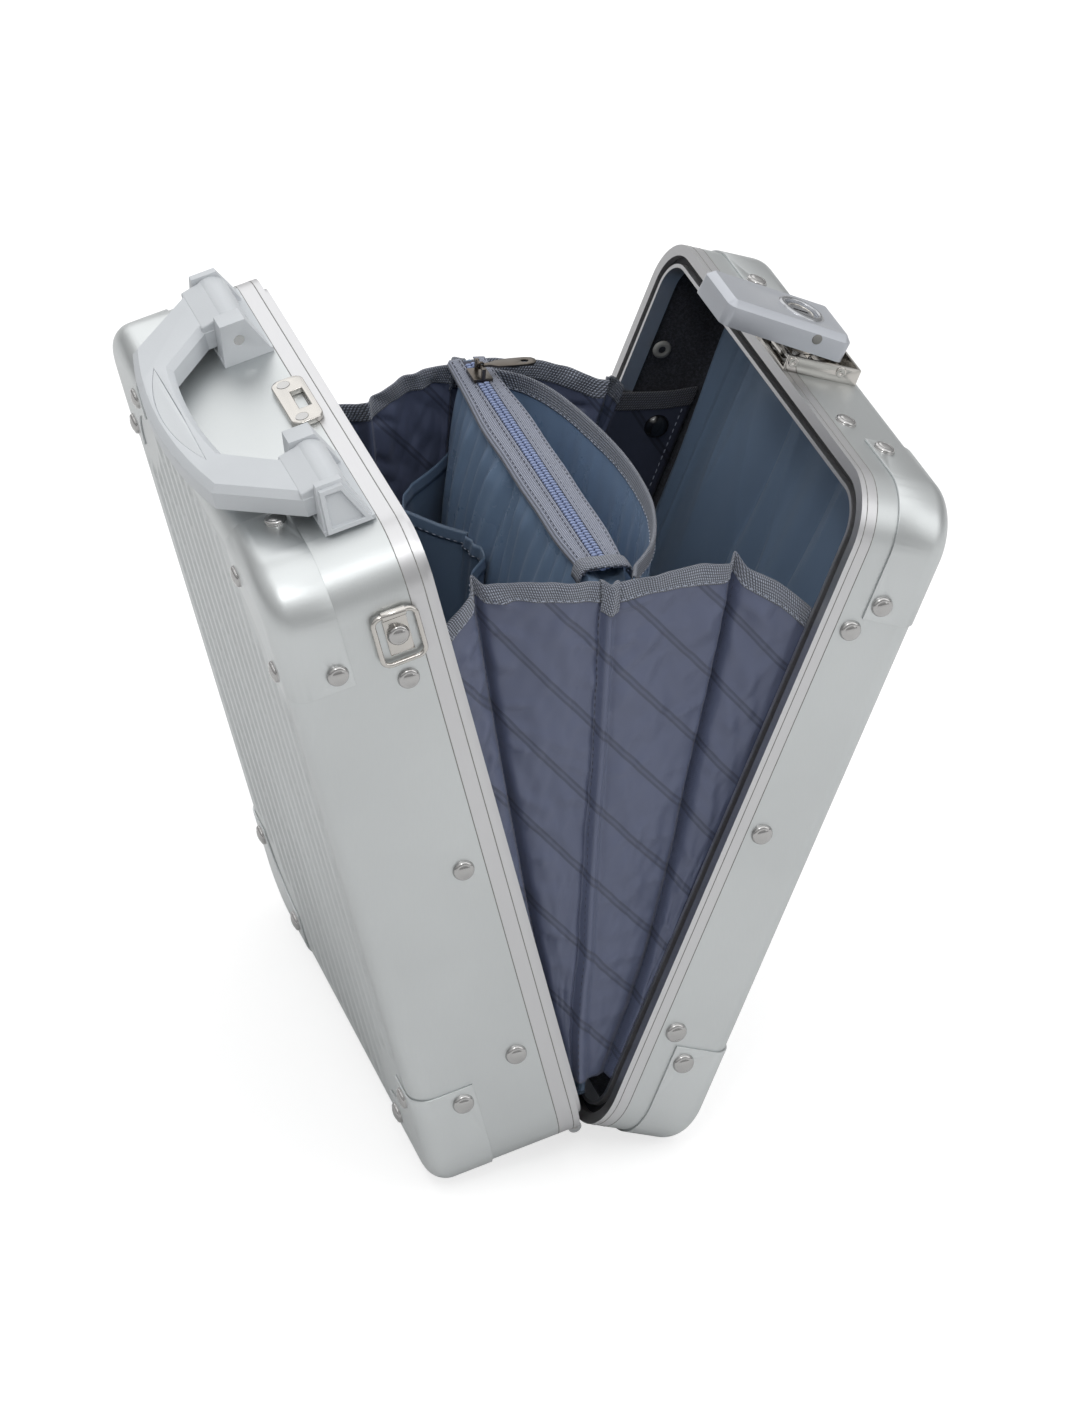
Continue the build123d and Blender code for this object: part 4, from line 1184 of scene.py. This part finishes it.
class CASE_OT_gussets(bpy.types.Operator):
    """Hang the folded gussets between the shells and bind their tops"""

    bl_idname = "case.gussets"
    bl_label = "Gussets"
    bl_options = {"REGISTER", "UNDO"}

    def execute(self, context):
        looks = context.scene.case_cloth
        nylon = looks.gusset_colour[:]
        webbing = looks.binding_colour[:]
        depth = looks.fold_depth / MM
        width = looks.binding_width / MM
        materials.update(
            nylon=striped_nylon("gusset_nylon", nylon, 0.12, 0.41, 0.6),
            webbing=ribbed("binding_webbing", webbing),
            thread=woven("grey_thread", shade(webbing, 1.25)),
            dark_thread=woven("dark_thread", shade(nylon, 0.45)),
        )
        # The far side panel lies in shade: its nylon and webbing are copies of the near ones darkened as painted shade.
        inside = striped_nylon("gusset_nylon_inside", shade(nylon, 0.42), 0.1, 0.55, 0.5)
        side_cloths = {
            NEAR: (materials["nylon"], materials["webbing"]),
            FAR: (inside, ribbed("webbing_painted_shade", shade(webbing, 0.3))),
        }
        for end, name in END_NAMES.items():
            self.add_gusset(end, name, depth, width)
            self.add_side_panel(end, name, width, *side_cloths[end])
        return {"FINISHED"}

    def add_gusset(self, end, name, depth, width):
        """Pleated cloth between the shells, with its binding, seams and middle loop."""
        matrix = place(MIDDLE)
        out = direction(MIDDLE, (0, end, 0))

        def cloth(u, v):
            return gusset_spot(end, u, GUSSET_BOTTOM + v * (gusset_top(end, u) - GUSSET_BOTTOM), 0, depth)

        def top_edge(share, drop, lift):
            return gusset_spot(end, share, gusset_top(end, share) - drop, lift, depth)

        def loop_edge(share, drop, lift):
            middle = FOLD_SHARES[MIDDLE_FOLD] + (share - 0.5) * 0.045
            return gusset_spot(end, middle, gusset_top(end, middle) + 0.9 - drop, lift * 2.3 + 0.6, depth)

        def sewn(label, spots, material):
            points = [matrix @ spot for spot in spots]
            row = stitches(f"gusset_{name}_{label}_stitches", points, out, material)
            return hinge_blend(row, "gusset_fabric")

        mesh = map_fan(grid(260, 140, cloth, 0.19, 0.26))
        panels = make(f"gusset_{name}_cloth", mesh, materials["nylon"], matrix)
        thicken(panels, 0.6)
        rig.replaces(panels, f"gusset_{name}")
        hinge_blend(panels, "gusset_fabric")
        binding = bound_edge(f"gusset_{name}_binding", top_edge, materials["webbing"], width, matrix, 180)
        hinge_blend(binding, "zip_tape")
        steps = 120
        seam = sewn("binding", [
            top_edge(step / steps, width - 1.3, 1.15) for step in range(steps + 1)
        ], materials["thread"])
        steps = 60
        rows = []
        for fold, shift in ((1, -0.006), (2, -0.02), (3, 0.006)):
            share = FOLD_SHARES[fold] + shift
            low = GUSSET_BOTTOM + 4
            high = gusset_top(end, share) - width - 1
            rows.append(sewn(f"seam_{fold - 1}", [
                gusset_spot(end, share, low + (high - low) * step / steps, 0.35, depth)
                for step in range(steps + 1)
            ], materials["dark_thread"]))
        loop = bound_edge(f"gusset_{name}_centre_loop", loop_edge, materials["webbing"], 14, matrix, 8)
        hinge_blend(loop, "zip_tape")
        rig.sheet(
            panels, flat=(0.19, 0.27), held="folded", rests_on=["handle_frame", "lock_frame"],
            area=0.0345, with_pieces=[binding, loop, seam, *rows],
        )

    def add_side_panel(self, end, name, width, nylon, webbing):
        """Panel that runs on from a gusset into the lock shell, to its back."""
        matrix = place(LOCK)
        start, reach, low = 1.5, 40.5, 40

        def top(share):
            return RIM_HEIGHTS[end][-1] - 3 + 10 * share - 1.5 * sin(pi * share)

        def spot(share, level, lift):
            wave = 0.6 * sin(share * 7 + level * 0.02) * (1 - share)
            out = GUSSET_PLANE + 0.8 + 2.5 * share + wave + lift
            return Vector((start + share * (reach - start), end * out, level))

        def cloth(u, v):
            return spot(u, low + v * (top(u) - low), 0)

        def edge(share, drop, lift):
            return spot(share, top(share) - drop, lift)

        panel = make(f"side_panel_{name}", grid(20, 60, cloth, 0.04, 0.24), nylon, matrix)
        thicken(panel, 0.6)
        fasten(panel, "lock_shell", "gusset_fabric")
        binding = bound_edge(f"side_panel_{name}_binding", edge, webbing, width, matrix, 20)
        fasten(binding, "lock_shell", "zip_tape")
        steps, column, stud_share, stud_height = 50, 0.9, 0.66, 252
        line = [
            matrix @ spot(column, low + 6 + (top(column) - width - low - 8) * step / steps, -0.4)
            for step in range(steps + 1)
        ]
        inward = direction(LOCK, (0, -end, 0))
        sewn = stitches(f"side_panel_{name}_stitches", line, inward, materials["thread"])
        fasten(sewn, "lock_shell", "gusset_fabric")
        cap = turned(STUD_CAP, spot(stud_share, stud_height, -0.3), (0, -end, 0))
        stud = make(f"side_panel_{name}_stud", cap, materials["stud_black"], matrix, True)
        fasten(stud, "lock_shell", "stud_black")
        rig.sheet(
            panel, flat=(0.042, 0.25), held="stretched", rests_on=["lock_lining"],
            with_pieces=[binding, sewn, stud],
        )


class CASE_OT_linings(bpy.types.Operator):
    """Line the backs of the two trays and the hinge"""

    bl_idname = "case.linings"
    bl_label = "Linings"
    bl_options = {"REGISTER", "UNDO"}

    backs = {HANDLE: (67.9, 20, 332), LOCK: (41.6, 20, 326)}
    half_width = 119
    cover_half = 107.5
    cover_radius = 16.6
    eyelet_depth = 13
    eyelet_height = 292
    end_wall = 122.0

    def execute(self, context):
        colour = shade(context.scene.case_cloth.pocket_colour, 0.75)
        satin = satin_cloth("lining_satin", colour, 0.5)
        for side, name in SIDE_NAMES.items():
            self.add_back_lining(side, name, satin)
        self.add_hinge_cover(satin)
        for end, name in END_NAMES.items():
            spot = (self.eyelet_depth, end * self.end_wall, self.eyelet_height)
            eyelet = turned(EYELET_RIM, spot, (0, -end, 0), 28)
            piece = make(f"end_eyelet_{name}", eyelet, materials["dark_plug"], place(LOCK), True)
            fasten(piece, "lock_shell", "stud_black")
        return {"FINISHED"}

    def add_back_lining(self, side, name, satin):
        """Pleated satin over the back of a tray."""
        back, low, high = self.backs[side]

        def cloth(u, v):
            width = (u * 2 - 1) * self.half_width
            level = low + v * (high - low)
            edge = smooth_between(min(u, 1 - u), 0, 0.03) * smooth_between(min(v, 1 - v), 0, 0.03)
            turn = (width + wrinkle(26, width * 0.015, level * 0.004, side * 4) + 0.1 * level) * pi / 21
            pleat = 0.5 + 0.5 * sin(turn + 0.9 * sin(turn * 0.5 + side))
            deep = 0.6 + wrinkle(0.8, width * 0.02, level * 0.005, side)
            tuck = crease(width * 0.03, level * 0.004, side * 2)
            return Vector((back - edge * (7 * pleat ** 0.6 * deep + 2.2 * tuck + 0.6), width, level))

        mesh = grid(240, 60, cloth, 0.3, (high - low) * MM)
        piece = make(f"{name}_back_lining", mesh, satin, place(side), True)
        thicken(piece, 0.4, 1)
        fasten(piece, BODIES[side], "lining_fabric")
        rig.sheet(piece, flat=(0.26, (high - low) * MM), held="gathered", rests_on=[f"{name}_lining"])

    def add_hinge_cover(self, satin):
        """Strip of cloth over the hinge."""
        def cover(u, v):
            angle = (u * 2 - 1) * OPENING / 2 * 1.02
            radius = self.cover_radius - 2.2 * sin(pi * u)
            return Vector((radius * sin(angle), (v * 2 - 1) * self.cover_half, radius * cos(angle)))

        strip = make("hinge_cover_cloth", grid(16, 60, cover, 0.012, 0.215), satin, place(MIDDLE))
        thicken(strip, 0.6)
        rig.replaces(strip, "hinge_cover")
        hinge_blend(strip, "lining_fabric")
        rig.sheet(strip, flat=(0.011, 0.215), held="stretched", rests_on=["handle_frame", "lock_frame"])


# Divider. The lines of the open edges give how far they stand from its middle along the width, and the
# bag's line gives its half thickness along the height.
FLAP_LINE = (
    (-118, -4), (-112, 2), (-102, 10.5), (-86, 21.6), (-66, 30), (-40, 36.8), (0, 40.5),
    (37, 39), (79, 33), (100, 25), (110, 15), (118, 1),
)
SMALL_LINE = (
    (-118, -3), (-100, -22), (-80, -39), (-52, -47), (-28, -42), (-6, -33), (2, -30), (12, -21),
    (26, -18.5), (38, -18.5), (40, -19), (50, -31), (63, -44), (76, -40), (89, -32), (104, -17), (118, -3),
)
BAG_LINE = ((17, 3), (100, 13), (190, 18.3), (235, 17.2), (262, 14.2), (281, 11.2))
BAG_BOTTOM = 17.0
ZIP_START = 28.0 - DIVIDER_HALF
ZIP_LENGTH = DIVIDER_HALF - ZIP_START


def pocket_half(width, level):
    """Half thickness of the zip pocket."""
    sway = wrinkle(2.4, width * 0.02, level * 0.006, 5)
    quiver = wrinkle(2.6, width * 0.03, level * 0.008, 9)
    folds = 1.6 * sin(width * 0.16 + level * 0.012 + sway)
    folds += 1.5 * sin(width * 0.5 + level * 0.09 + quiver)
    folds += wrinkle(4.0, width * 0.035, level * 0.010, 7)
    folds += wrinkle(1.6, width * 0.09 + level * 0.02, level * 0.012, 3)
    fade = (0.3 + 0.7 * smooth_between(POCKET_TOP - level, 2, 16)) * smooth_between(level, 18, 60)
    rounding = max(0, 1 - abs(width / (DIVIDER_HALF + 1)) ** 3.4) ** 0.6
    return 0.8 + rounding * (along_line(BAG_LINE, level) - 1.6 + folds * fade * 0.8)


def flatten(*pieces):
    """Let soft pieces of the divider flatten as the case closes."""
    across = place(MIDDLE).to_3x3() @ Vector((1, 0, 0))
    for piece in pieces:
        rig.squash(piece, "case_hinge", across, HINGE, keep=0.5)


class CASE_OT_divider(bpy.types.Operator):
    """Sew the divider: zip pocket, open pocket and small pockets"""

    bl_idname = "case.divider"
    bl_label = "Divider pockets"
    bl_options = {"REGISTER", "UNDO"}

    zip_pitch = 2.5
    open_half = 117.5
    open_low = 90.0
    open_high = 284.5
    open_slope = 8.5 / 118
    small_low = 105.0
    small_high = 233.0

    def execute(self, context):
        looks = context.scene.case_cloth
        matrix = place(MIDDLE)
        satin = satin_cloth("pocket_satin", shade(looks.pocket_colour, 1.2), 0.28)
        # The small pockets take a copy of the pocket satin darkened as painted shade.
        shaded_satin = satin_cloth("small_pocket_satin_painted_shade", shade(looks.pocket_colour, 0.72), 0.42)
        weave = ribbed("zip_tape_weave", (0.33, 0.36, 0.46, 1), pitch=0.0011, slant=1.2, depth=0.0002)
        bag = self.add_bag(matrix, satin)
        tapes = [piece for side in (-1, 1) for piece in self.add_zip_tape(matrix, weave, side)]
        self.add_zip_coil(matrix)
        band = self.add_zip_band(matrix)
        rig.padded(bag, fill=0.35)
        flatten(bag, *tapes, band)
        self.add_open_pocket(matrix, satin, looks.binding_width / MM - 0.8)
        self.add_small_pockets(matrix, shaded_satin)
        return {"FINISHED"}

    def add_bag(self, matrix, satin):
        """Closed bag that bulges below the zip."""
        def wall(u, v):
            side = -1 if u < 0.5 else 1
            share = u * 2 if u < 0.5 else 2 - u * 2
            width = (share * 2 - 1) * DIVIDER_HALF
            trim = max(0, abs(width) - 108) * 0.72
            beside_zip = smooth_between(ZIP_START - width, -1, 6)
            level = max(BAG_BOTTOM + v * (POCKET_TOP - BAG_BOTTOM), BAG_BOTTOM + trim)
            level = min(level, POCKET_TOP - 10 * beside_zip)
            return Vector((side * pocket_half(width, level), width, level))

        mesh = grid(240, 100, wall, 0.48, 0.27)
        bmesh.ops.remove_doubles(mesh, verts=mesh.verts, dist=0.01)
        bmesh.ops.holes_fill(mesh, edges=[edge for edge in mesh.edges if edge.is_boundary], sides=0)
        piece = make("zip_pocket_bag", mesh, satin, matrix, True)
        return fasten(piece, "divider", "pocket_fabric", "zip_pocket")

    def add_zip_tape(self, matrix, weave, side):
        """One tape of the zip and its two rows of stitches."""
        def strip(u, v):
            width = ZIP_START + v * (ZIP_LENGTH - 1)
            inner, outer = 3.1, 13.2 - 3.6 * smooth_between(abs(width), 45, 116)
            across = inner + u * (outer - inner)
            rise = 1.3 - 0.5 * u - 2.6 * smooth_between(u, 0.82, 1) + 0.3 * sin(width * 0.12 + side) * u
            return Vector((side * across, width, POCKET_TOP + rise))

        name = f"zip_tape_{'lock' if side > 0 else 'handle'}"
        piece = make(name, grid(12, 160, strip, 0.009, 0.205), weave, matrix, True)
        thicken(piece, 0.5, 1)
        fasten(piece, "divider", "zip_tape", *(["zip_tapes"] if side > 0 else []))
        up = direction(MIDDLE, (0, 0, 1))
        steps = 120
        rows = []
        for label, share in (("inner", 0.2), ("outer", 0.74)):
            row = [matrix @ (strip(share, step / steps) + Vector((0, 0, 0.4))) for step in range(steps + 1)]
            sewn = stitches(f"{name}_{label}_stitches", row, up, materials["dark_thread"])
            rows.append(fasten(sewn, "divider", "zip_tape"))
        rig.sheet(piece, flat=(0.0105, 0.205), held="stretched", rests_on=["zip_pocket_bag"], with_pieces=rows)
        return [piece, *rows]

    def add_zip_coil(self, matrix):
        """Two rows of coil teeth over a dark bed, painted shade of the gap between the tapes."""
        length = ZIP_LENGTH - 4
        tooth = (1.75, 0.5, 0.95)
        teeth = []
        for index in range(int(length / self.zip_pitch)):
            for side, shift in ((-1, 0), (1, 0.5)):
                width = ZIP_START + (index + shift) * self.zip_pitch
                teeth.append(bead(tooth, Vector((side * 1.5, width, POCKET_TOP + 1.4))))
        # The dark bed under the teeth is painted shade where the gap between the tapes lies open.
        bed = bmesh.new()
        centre = Matrix.Translation((0, ZIP_START + ZIP_LENGTH / 2 - 1, POCKET_TOP + 0.5))
        bmesh.ops.create_cube(bed, size=1, matrix=centre @ Matrix.Diagonal((6.8, length, 0.6, 1)))
        gap_shade = moulded_plastic("zip_gap_painted_shade", (0.02, 0.026, 0.06, 1), 0.6)
        fasten(make("zip_gap", bed, gap_shade, matrix), "divider", "zip_tape")
        coil_nylon = moulded_plastic("coil_nylon", (0.33, 0.4, 0.62, 1), 0.3)
        coil = make("zip_coil_teeth", join(teeth), coil_nylon, matrix)
        fasten(coil, "divider", "zip_coil", "zip_coil")

    def add_zip_band(self, matrix):
        """Webbing over the near end of the zip."""
        outer = 12.8

        def band(u, v):
            angle = (u - 0.5) * pi
            drop = 8.5 * (abs(u - 0.5) * 2) ** 4
            width = ZIP_START - 1.5 + v * 9.8
            return Vector((outer * sin(angle), width, POCKET_TOP + 3.0 - drop + 0.4 * sin(pi * v)))

        mesh = grid(24, 6, band, 0.034, 0.0102)
        piece = make("zip_end_band_near", mesh, materials["webbing"], matrix, True)
        thicken(piece, 0.8)
        fasten(piece, "divider", "zip_tape")
        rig.sheet(piece, flat=(0.034, 0.0102), held="stretched", rests_on=["zip_pocket_bag"])
        return piece

    def add_open_pocket(self, matrix, satin, bound):
        """Open pocket on the lock side with a bound top edge."""
        low = self.open_low

        def top(width):
            return self.open_high - width * self.open_slope

        def spot(share, level, lift):
            width = (share * 2 - 1) * self.open_half
            rise = max(0, min(1, (level - low) / (top(width) - low)))
            wall = pocket_half(width, min(level, POCKET_TOP - 1)) + 0.8
            out = max(wall, along_line(FLAP_LINE, width))
            ripple = 1.6 * sin(width * 0.13) + 1.5 * sin(width * 0.42 + level * 0.01)
            ripple += wrinkle(3, width * 0.03, level * 0.02, 2) + wrinkle(1.8, width * 0.07, level * 0.008, 8)
            ripple *= rise * (1 - rise) * 1.6
            slope = along_line(FLAP_LINE, width + 1) - along_line(FLAP_LINE, width - 1)
            normal = Vector((1, -slope / 2, 0)).normalized()
            return Vector((wall + (out - wall) * rise ** 0.75 + ripple, width, level)) + normal * lift

        def edge(share, drop, lift):
            return spot(share, top((share * 2 - 1) * self.open_half) - drop, lift)

        def cloth(u, v):
            return spot(u, low + v * (top((u * 2 - 1) * self.open_half) - low), 0)

        piece = make("open_pocket_cloth", grid(120, 60, cloth, 0.27, 0.2), satin, matrix, True)
        thicken(piece, 0.5)
        fasten(piece, "divider", "pocket_fabric", "pocket_flap")
        steps = 110
        binding = bound_edge("open_pocket_binding", edge, materials["webbing"], bound, matrix, steps)
        fasten(binding, "divider", "zip_tape")
        rows = []
        for name, face in (("open_pocket_stitches", 1), ("open_pocket_inner_stitches", -1)):
            row = [matrix @ edge(step / steps, bound - 1.2, face * 1.1) for step in range(steps + 1)]
            sewn = stitches(name, row, direction(MIDDLE, (face, 0, 0)), materials["thread"])
            rows.append(fasten(sewn, "divider", "zip_tape"))
        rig.sheet(
            piece, flat=(0.275, 0.2), held="hung", rests_on=["zip_pocket_bag"],
            with_pieces=[binding, *rows],
        )
        flatten(piece, binding, *rows)

    def add_small_pockets(self, matrix, satin):
        """Two small hemmed pockets on the handle side."""
        low, high = self.small_low, self.small_high

        def spot(share, level, lift):
            width = (share * 2 - 1) * DIVIDER_HALF
            rise = max(0, min(1, (level - low) / (high - low)))
            wall = -pocket_half(width, level) - 0.9
            out = min(wall, straight_line(SMALL_LINE, width))
            ripple = wrinkle(1.2, width * 0.05, level * 0.03, 11) * rise
            depth = wall + (out - wall) * rise ** 0.7 + ripple - lift
            return Vector((depth, width, level + 1.5 * sin(width * 0.11) * rise))

        def cloth(u, v):
            return spot(u, low + v * (high - low), 0)

        def hem(u, v):
            lift = 0.8 - 1.6 * u
            return spot(v, high + 0.8 - 7 * abs(u * 2 - 1), lift)

        piece = make("small_pockets_cloth", grid(180, 40, cloth, 0.32, 0.13), satin, matrix, True)
        thicken(piece, 0.5)
        fasten(piece, "divider", "pocket_fabric", "pen_pocket")
        edge = make("small_pockets_hem", grid(8, 180, hem, 0.015, 0.32), satin, matrix, True)
        thicken(edge, 0.4)
        fasten(edge, "divider", "pocket_fabric")
        steps = 160
        row = [matrix @ spot(step / steps, high - 5.2, 1.2) for step in range(steps + 1)]
        out = direction(MIDDLE, (-1, 0, 0))
        sewn = stitches(
            "small_pockets_stitches", row, out, materials["thread"], length=2.2, gap=1.4, thread=0.2)
        fasten(sewn, "divider", "pocket_fabric")
        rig.sheet(
            piece, flat=(0.33, 0.135), held="hung", rests_on=["zip_pocket_bag"],
            with_pieces=[edge, sewn],
        )
        flatten(piece, edge, sewn)


class CASE_OT_zip_pull(bpy.types.Operator):
    """Make the pull of the zip"""

    bl_idname = "case.zip_pull"
    bl_label = "Zip pull"
    bl_options = {"REGISTER", "UNDO"}

    thickness = 1.3
    slot_centre = 21.6

    def execute(self, context):
        pivot = Vector(JOINTS["pull_flip"]["pos_m"])
        lean = Matrix.Translation(pivot) @ Matrix.Rotation(LEANS[MIDDLE], 4, "Y") @ Matrix.Scale(MM, 4)
        side = ((1.2, 1.1), (4.5, 1.2), (8, 3.0), (15, 3.6), (22, 3.6), (25.5, 2.9), (27, 1.2))
        outline = [*side, *((x, -y) for x, y in reversed(side))]
        turns = [step * pi / 6 for step in range(12)]
        slot = [(self.slot_centre + 1.9 * cos(turn), 1.3 * sin(turn)) for turn in turns]
        mesh = bmesh.new()
        for loop in (outline, slot):
            corners = [mesh.verts.new((x, y, -self.thickness / 2)) for x, y in loop]
            for first, second in zip(corners, corners[1:] + corners[:1]):
                mesh.edges.new((first, second))
        bmesh.ops.triangle_fill(mesh, edges=mesh.edges, use_beauty=True)
        draw_out(mesh, (0, 0, self.thickness))
        eye = ring_of(1.5, 0.6, (0, 0, 0), (0, 1, 0), 24, 10)
        pull = make("zip_pull_plate", join([mesh, eye]), materials["bronze"], lean, True)
        soften(pull, 0.25, harden=False)
        fasten(pull, "zip_pull", "bronze", "zip_pull")
        return {"FINISHED"}


# Heads of the lock's pins, as depth, height over the case's top, half width and body, and its side plugs
LOCK_PINS = ((4.0, 5.2, 15.4, "lock_shell"), (29.0, 5.2, 15.4, "lock_shell"), (13.0, 15.0, 12.8, "lift_link"))
PLUG_DEPTH = 9.5
PLUG_HALF = 17.7
PLUG_RISE = 19.2


class CASE_OT_lock(bpy.types.Operator):
    """Add the key's bezel and rim, the side plugs and the pins' heads to the lock"""

    bl_idname = "case.lock"
    bl_label = "Lock details"
    bl_options = {"REGISTER", "UNDO"}

    def execute(self, context):
        matrix = place(LOCK)
        key = JOINTS["key_turn"]
        centre = matrix.inverted() @ Vector(key["pos_m"])
        normal = (matrix.to_3x3().inverted() @ Vector(key["axis"])).normalized()
        bezel = turned(KEY_BEZEL, centre, normal, 56)
        fasten(make("key_bezel", bezel, materials["key_metal"], matrix, True), "lock_lever", "key_metal")
        rim = ring_of(6.2, 0.45, centre - normal * 0.75, normal, 48, 8)
        fasten(make("key_barrel_rim", rim, materials["nickel"], matrix, True), "key_cylinder", "key_metal")
        for end, name in END_NAMES.items():
            plug = turned(SIDE_PLUG, (PLUG_DEPTH, end * PLUG_HALF, CASE_TOP + PLUG_RISE), (0, end, 0), 32)
            piece = make(f"lock_side_plug_{name}", plug, materials["dark_plug"], matrix, True)
            fasten(piece, "lock_lever", "lock_plastic")
            for depth, height, half, body in LOCK_PINS:
                head = turned(PIN_HEAD, (depth, end * half, CASE_TOP + height), (0, end, 0), 24)
                piece = make(f"lock_pin_head_{name}_{round(depth)}", head, materials["nickel"], matrix, True)
                fasten(piece, body, "rivet_steel")
        return {"FINISHED"}


# Camera: place and reach in metres, turn in degrees, lens and sensor in millimetres
CAMERA_SPOT = (-0.76461, -2.36698, 1.69884)
CAMERA_TURN = (58.4116, -0.1819, -18.0372)
CAMERA_LENS = 159.65
CAMERA_SENSOR = 36
CAMERA_REACH = 20


class CASE_OT_stage(bpy.types.Operator):
    """Set the floor, the surroundings, the lamps and the camera"""

    bl_idname = "case.stage"
    bl_label = "Stage"
    bl_options = {"REGISTER", "UNDO"}

    def execute(self, context):
        scene = context.scene
        looks = scene.case_stage
        self.add_floor(looks)
        self.add_surroundings(scene, looks)
        self.add_lamps(scene, looks)
        self.add_camera(scene)
        scene.view_settings.view_transform = "Standard"
        return {"FINISHED"}

    def add_floor(self, looks):
        """Paper that the camera sees partly glowing, so that its shadows stay faint."""
        mesh = bmesh.new()
        bmesh.ops.create_grid(mesh, x_segments=1, y_segments=1, size=6)
        paint = Paint("floor_paper", Base_Color=looks.floor_colour[:], Roughness=0.9, Specular_IOR_Level=0.0)
        rays = paint.node("ShaderNodeLightPath")
        glow = paint.node("ShaderNodeEmission", None, {"Color": (1, 1, 1, 1), "Strength": 0.7})
        soft = paint.node("ShaderNodeBsdfDiffuse", None, {"Color": (0.42, 0.42, 0.42, 1)})
        both = paint.node("ShaderNodeAddShader")
        switch = paint.node("ShaderNodeMixShader", None, {"Fac": Field(paint, rays.outputs["Is Camera Ray"])})
        for shader, socket in (
            (glow, both.inputs[0]), (soft, both.inputs[1]),
            (paint.shader, switch.inputs[1]), (both, switch.inputs[2]),
        ):
            paint.tree.links.new(shader.outputs[0], socket)
        paint.finish(switch)
        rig.stage(make("floor", mesh, paint.material))

    def add_surroundings(self, scene, looks):
        """White all round, dimmer towards the horizon and plain white to the camera."""
        scene.world = bpy.data.worlds.new("surroundings")
        scene.world.use_nodes = True
        nodes = scene.world.node_tree.nodes
        links = scene.world.node_tree.links
        background = nodes["Background"]
        background.inputs["Color"].default_value = (1, 1, 1, 1)
        way = nodes.new("ShaderNodeTexCoord")
        parts = nodes.new("ShaderNodeSeparateXYZ")
        links.new(way.outputs["Generated"], parts.inputs[0])
        rise = nodes.new("ShaderNodeMapRange")
        links.new(parts.outputs["Z"], rise.inputs["Value"])
        for socket, value in (
            ("From Min", 0.05), ("From Max", 0.7), ("To Min", looks.horizon), ("To Max", looks.sky),
        ):
            rise.inputs[socket].default_value = value
        rays = nodes.new("ShaderNodeLightPath")
        seen = nodes.new("ShaderNodeMath")
        seen.operation = "MAXIMUM"
        links.new(rays.outputs["Is Camera Ray"], seen.inputs[0])
        links.new(rise.outputs["Result"], seen.inputs[1])
        links.new(seen.outputs[0], background.inputs["Strength"])

    def add_lamps(self, scene, looks):
        """Square lamps that face the case."""
        middle = Vector((0, 0, 0.19))
        for name, spot, size, power in (
            ("overhead", (0.1, -0.3, 1.9), 2.3, looks.overhead_power),
            ("key", (-0.5, -1.5, 2.1), 0.35, looks.key_power),
            ("right_side", (1.7, -1.3, 1.1), 1.4, looks.side_power),
            ("back_panel", (0.1, 2.4, 1.7), 2.4, looks.back_power),
        ):
            lamp = bpy.data.lights.new(name, "AREA")
            lamp.shape = "SQUARE"
            lamp.size = size
            lamp.energy = power
            holder = bpy.data.objects.new(name, lamp)
            holder.location = spot
            holder.rotation_euler = (middle - Vector(spot)).to_track_quat("-Z", "Y").to_euler()
            scene.collection.objects.link(holder)

    def add_camera(self, scene):
        """Camera before the near end and above the case."""
        camera = bpy.data.cameras.new("camera")
        camera.lens = CAMERA_LENS
        camera.sensor_width = CAMERA_SENSOR
        camera.clip_end = CAMERA_REACH
        eye = bpy.data.objects.new("camera", camera)
        eye.location = CAMERA_SPOT
        eye.rotation_euler = [radians(angle) for angle in CAMERA_TURN]
        scene.collection.objects.link(eye)
        scene.camera = eye


class CASE_PT_panel(bpy.types.Panel):
    """Makers of the case, in the order in which they run"""

    bl_idname = "CASE_PT_panel"
    bl_label = "Laptop hard case"
    bl_space_type = "VIEW_3D"
    bl_region_type = "UI"
    bl_category = "Case"

    def draw(self, context):
        for group in GROUPS:
            looks = getattr(context.scene, group)
            box = self.layout.box()
            for name in looks.bl_rna.properties.keys():
                if name not in {"rna_type", "name"}:
                    box.prop(looks, name)
        for maker in MAKERS:
            self.layout.operator(maker.bl_idname)


GROUPS = {"case_metal": MetalLooks, "case_cloth": ClothLooks, "case_stage": StageLooks}
MAKERS = (
    CASE_OT_metal, CASE_OT_ribs, CASE_OT_mouldings, CASE_OT_shadow_lines, CASE_OT_rivets, CASE_OT_gussets,
    CASE_OT_linings, CASE_OT_divider, CASE_OT_zip_pull, CASE_OT_lock, CASE_OT_stage,
)


def register():
    """Register the settings, the makers and the panel."""
    for kind in (*GROUPS.values(), *MAKERS, CASE_PT_panel):
        bpy.utils.register_class(kind)
    for name, kind in GROUPS.items():
        setattr(bpy.types.Scene, name, bpy.props.PointerProperty(type=kind))


def unregister():
    """Take them out again."""
    for name in GROUPS:
        delattr(bpy.types.Scene, name)
    for kind in (CASE_PT_panel, *reversed(MAKERS), *GROUPS.values()):
        bpy.utils.unregister_class(kind)


def main():
    """Run every maker and write the two boxes."""
    register()
    for maker in MAKERS:
        group, name = maker.bl_idname.split(".")
        getattr(getattr(bpy.ops, group), name)()
    bpy.context.view_layer.update()
    seen = [list(corner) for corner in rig.bounds()]
    with open("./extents.json", "w") as file:
        json.dump({"cad": CAD_BOX, "visual": seen}, file)


if __name__ == "__main__":
    main()
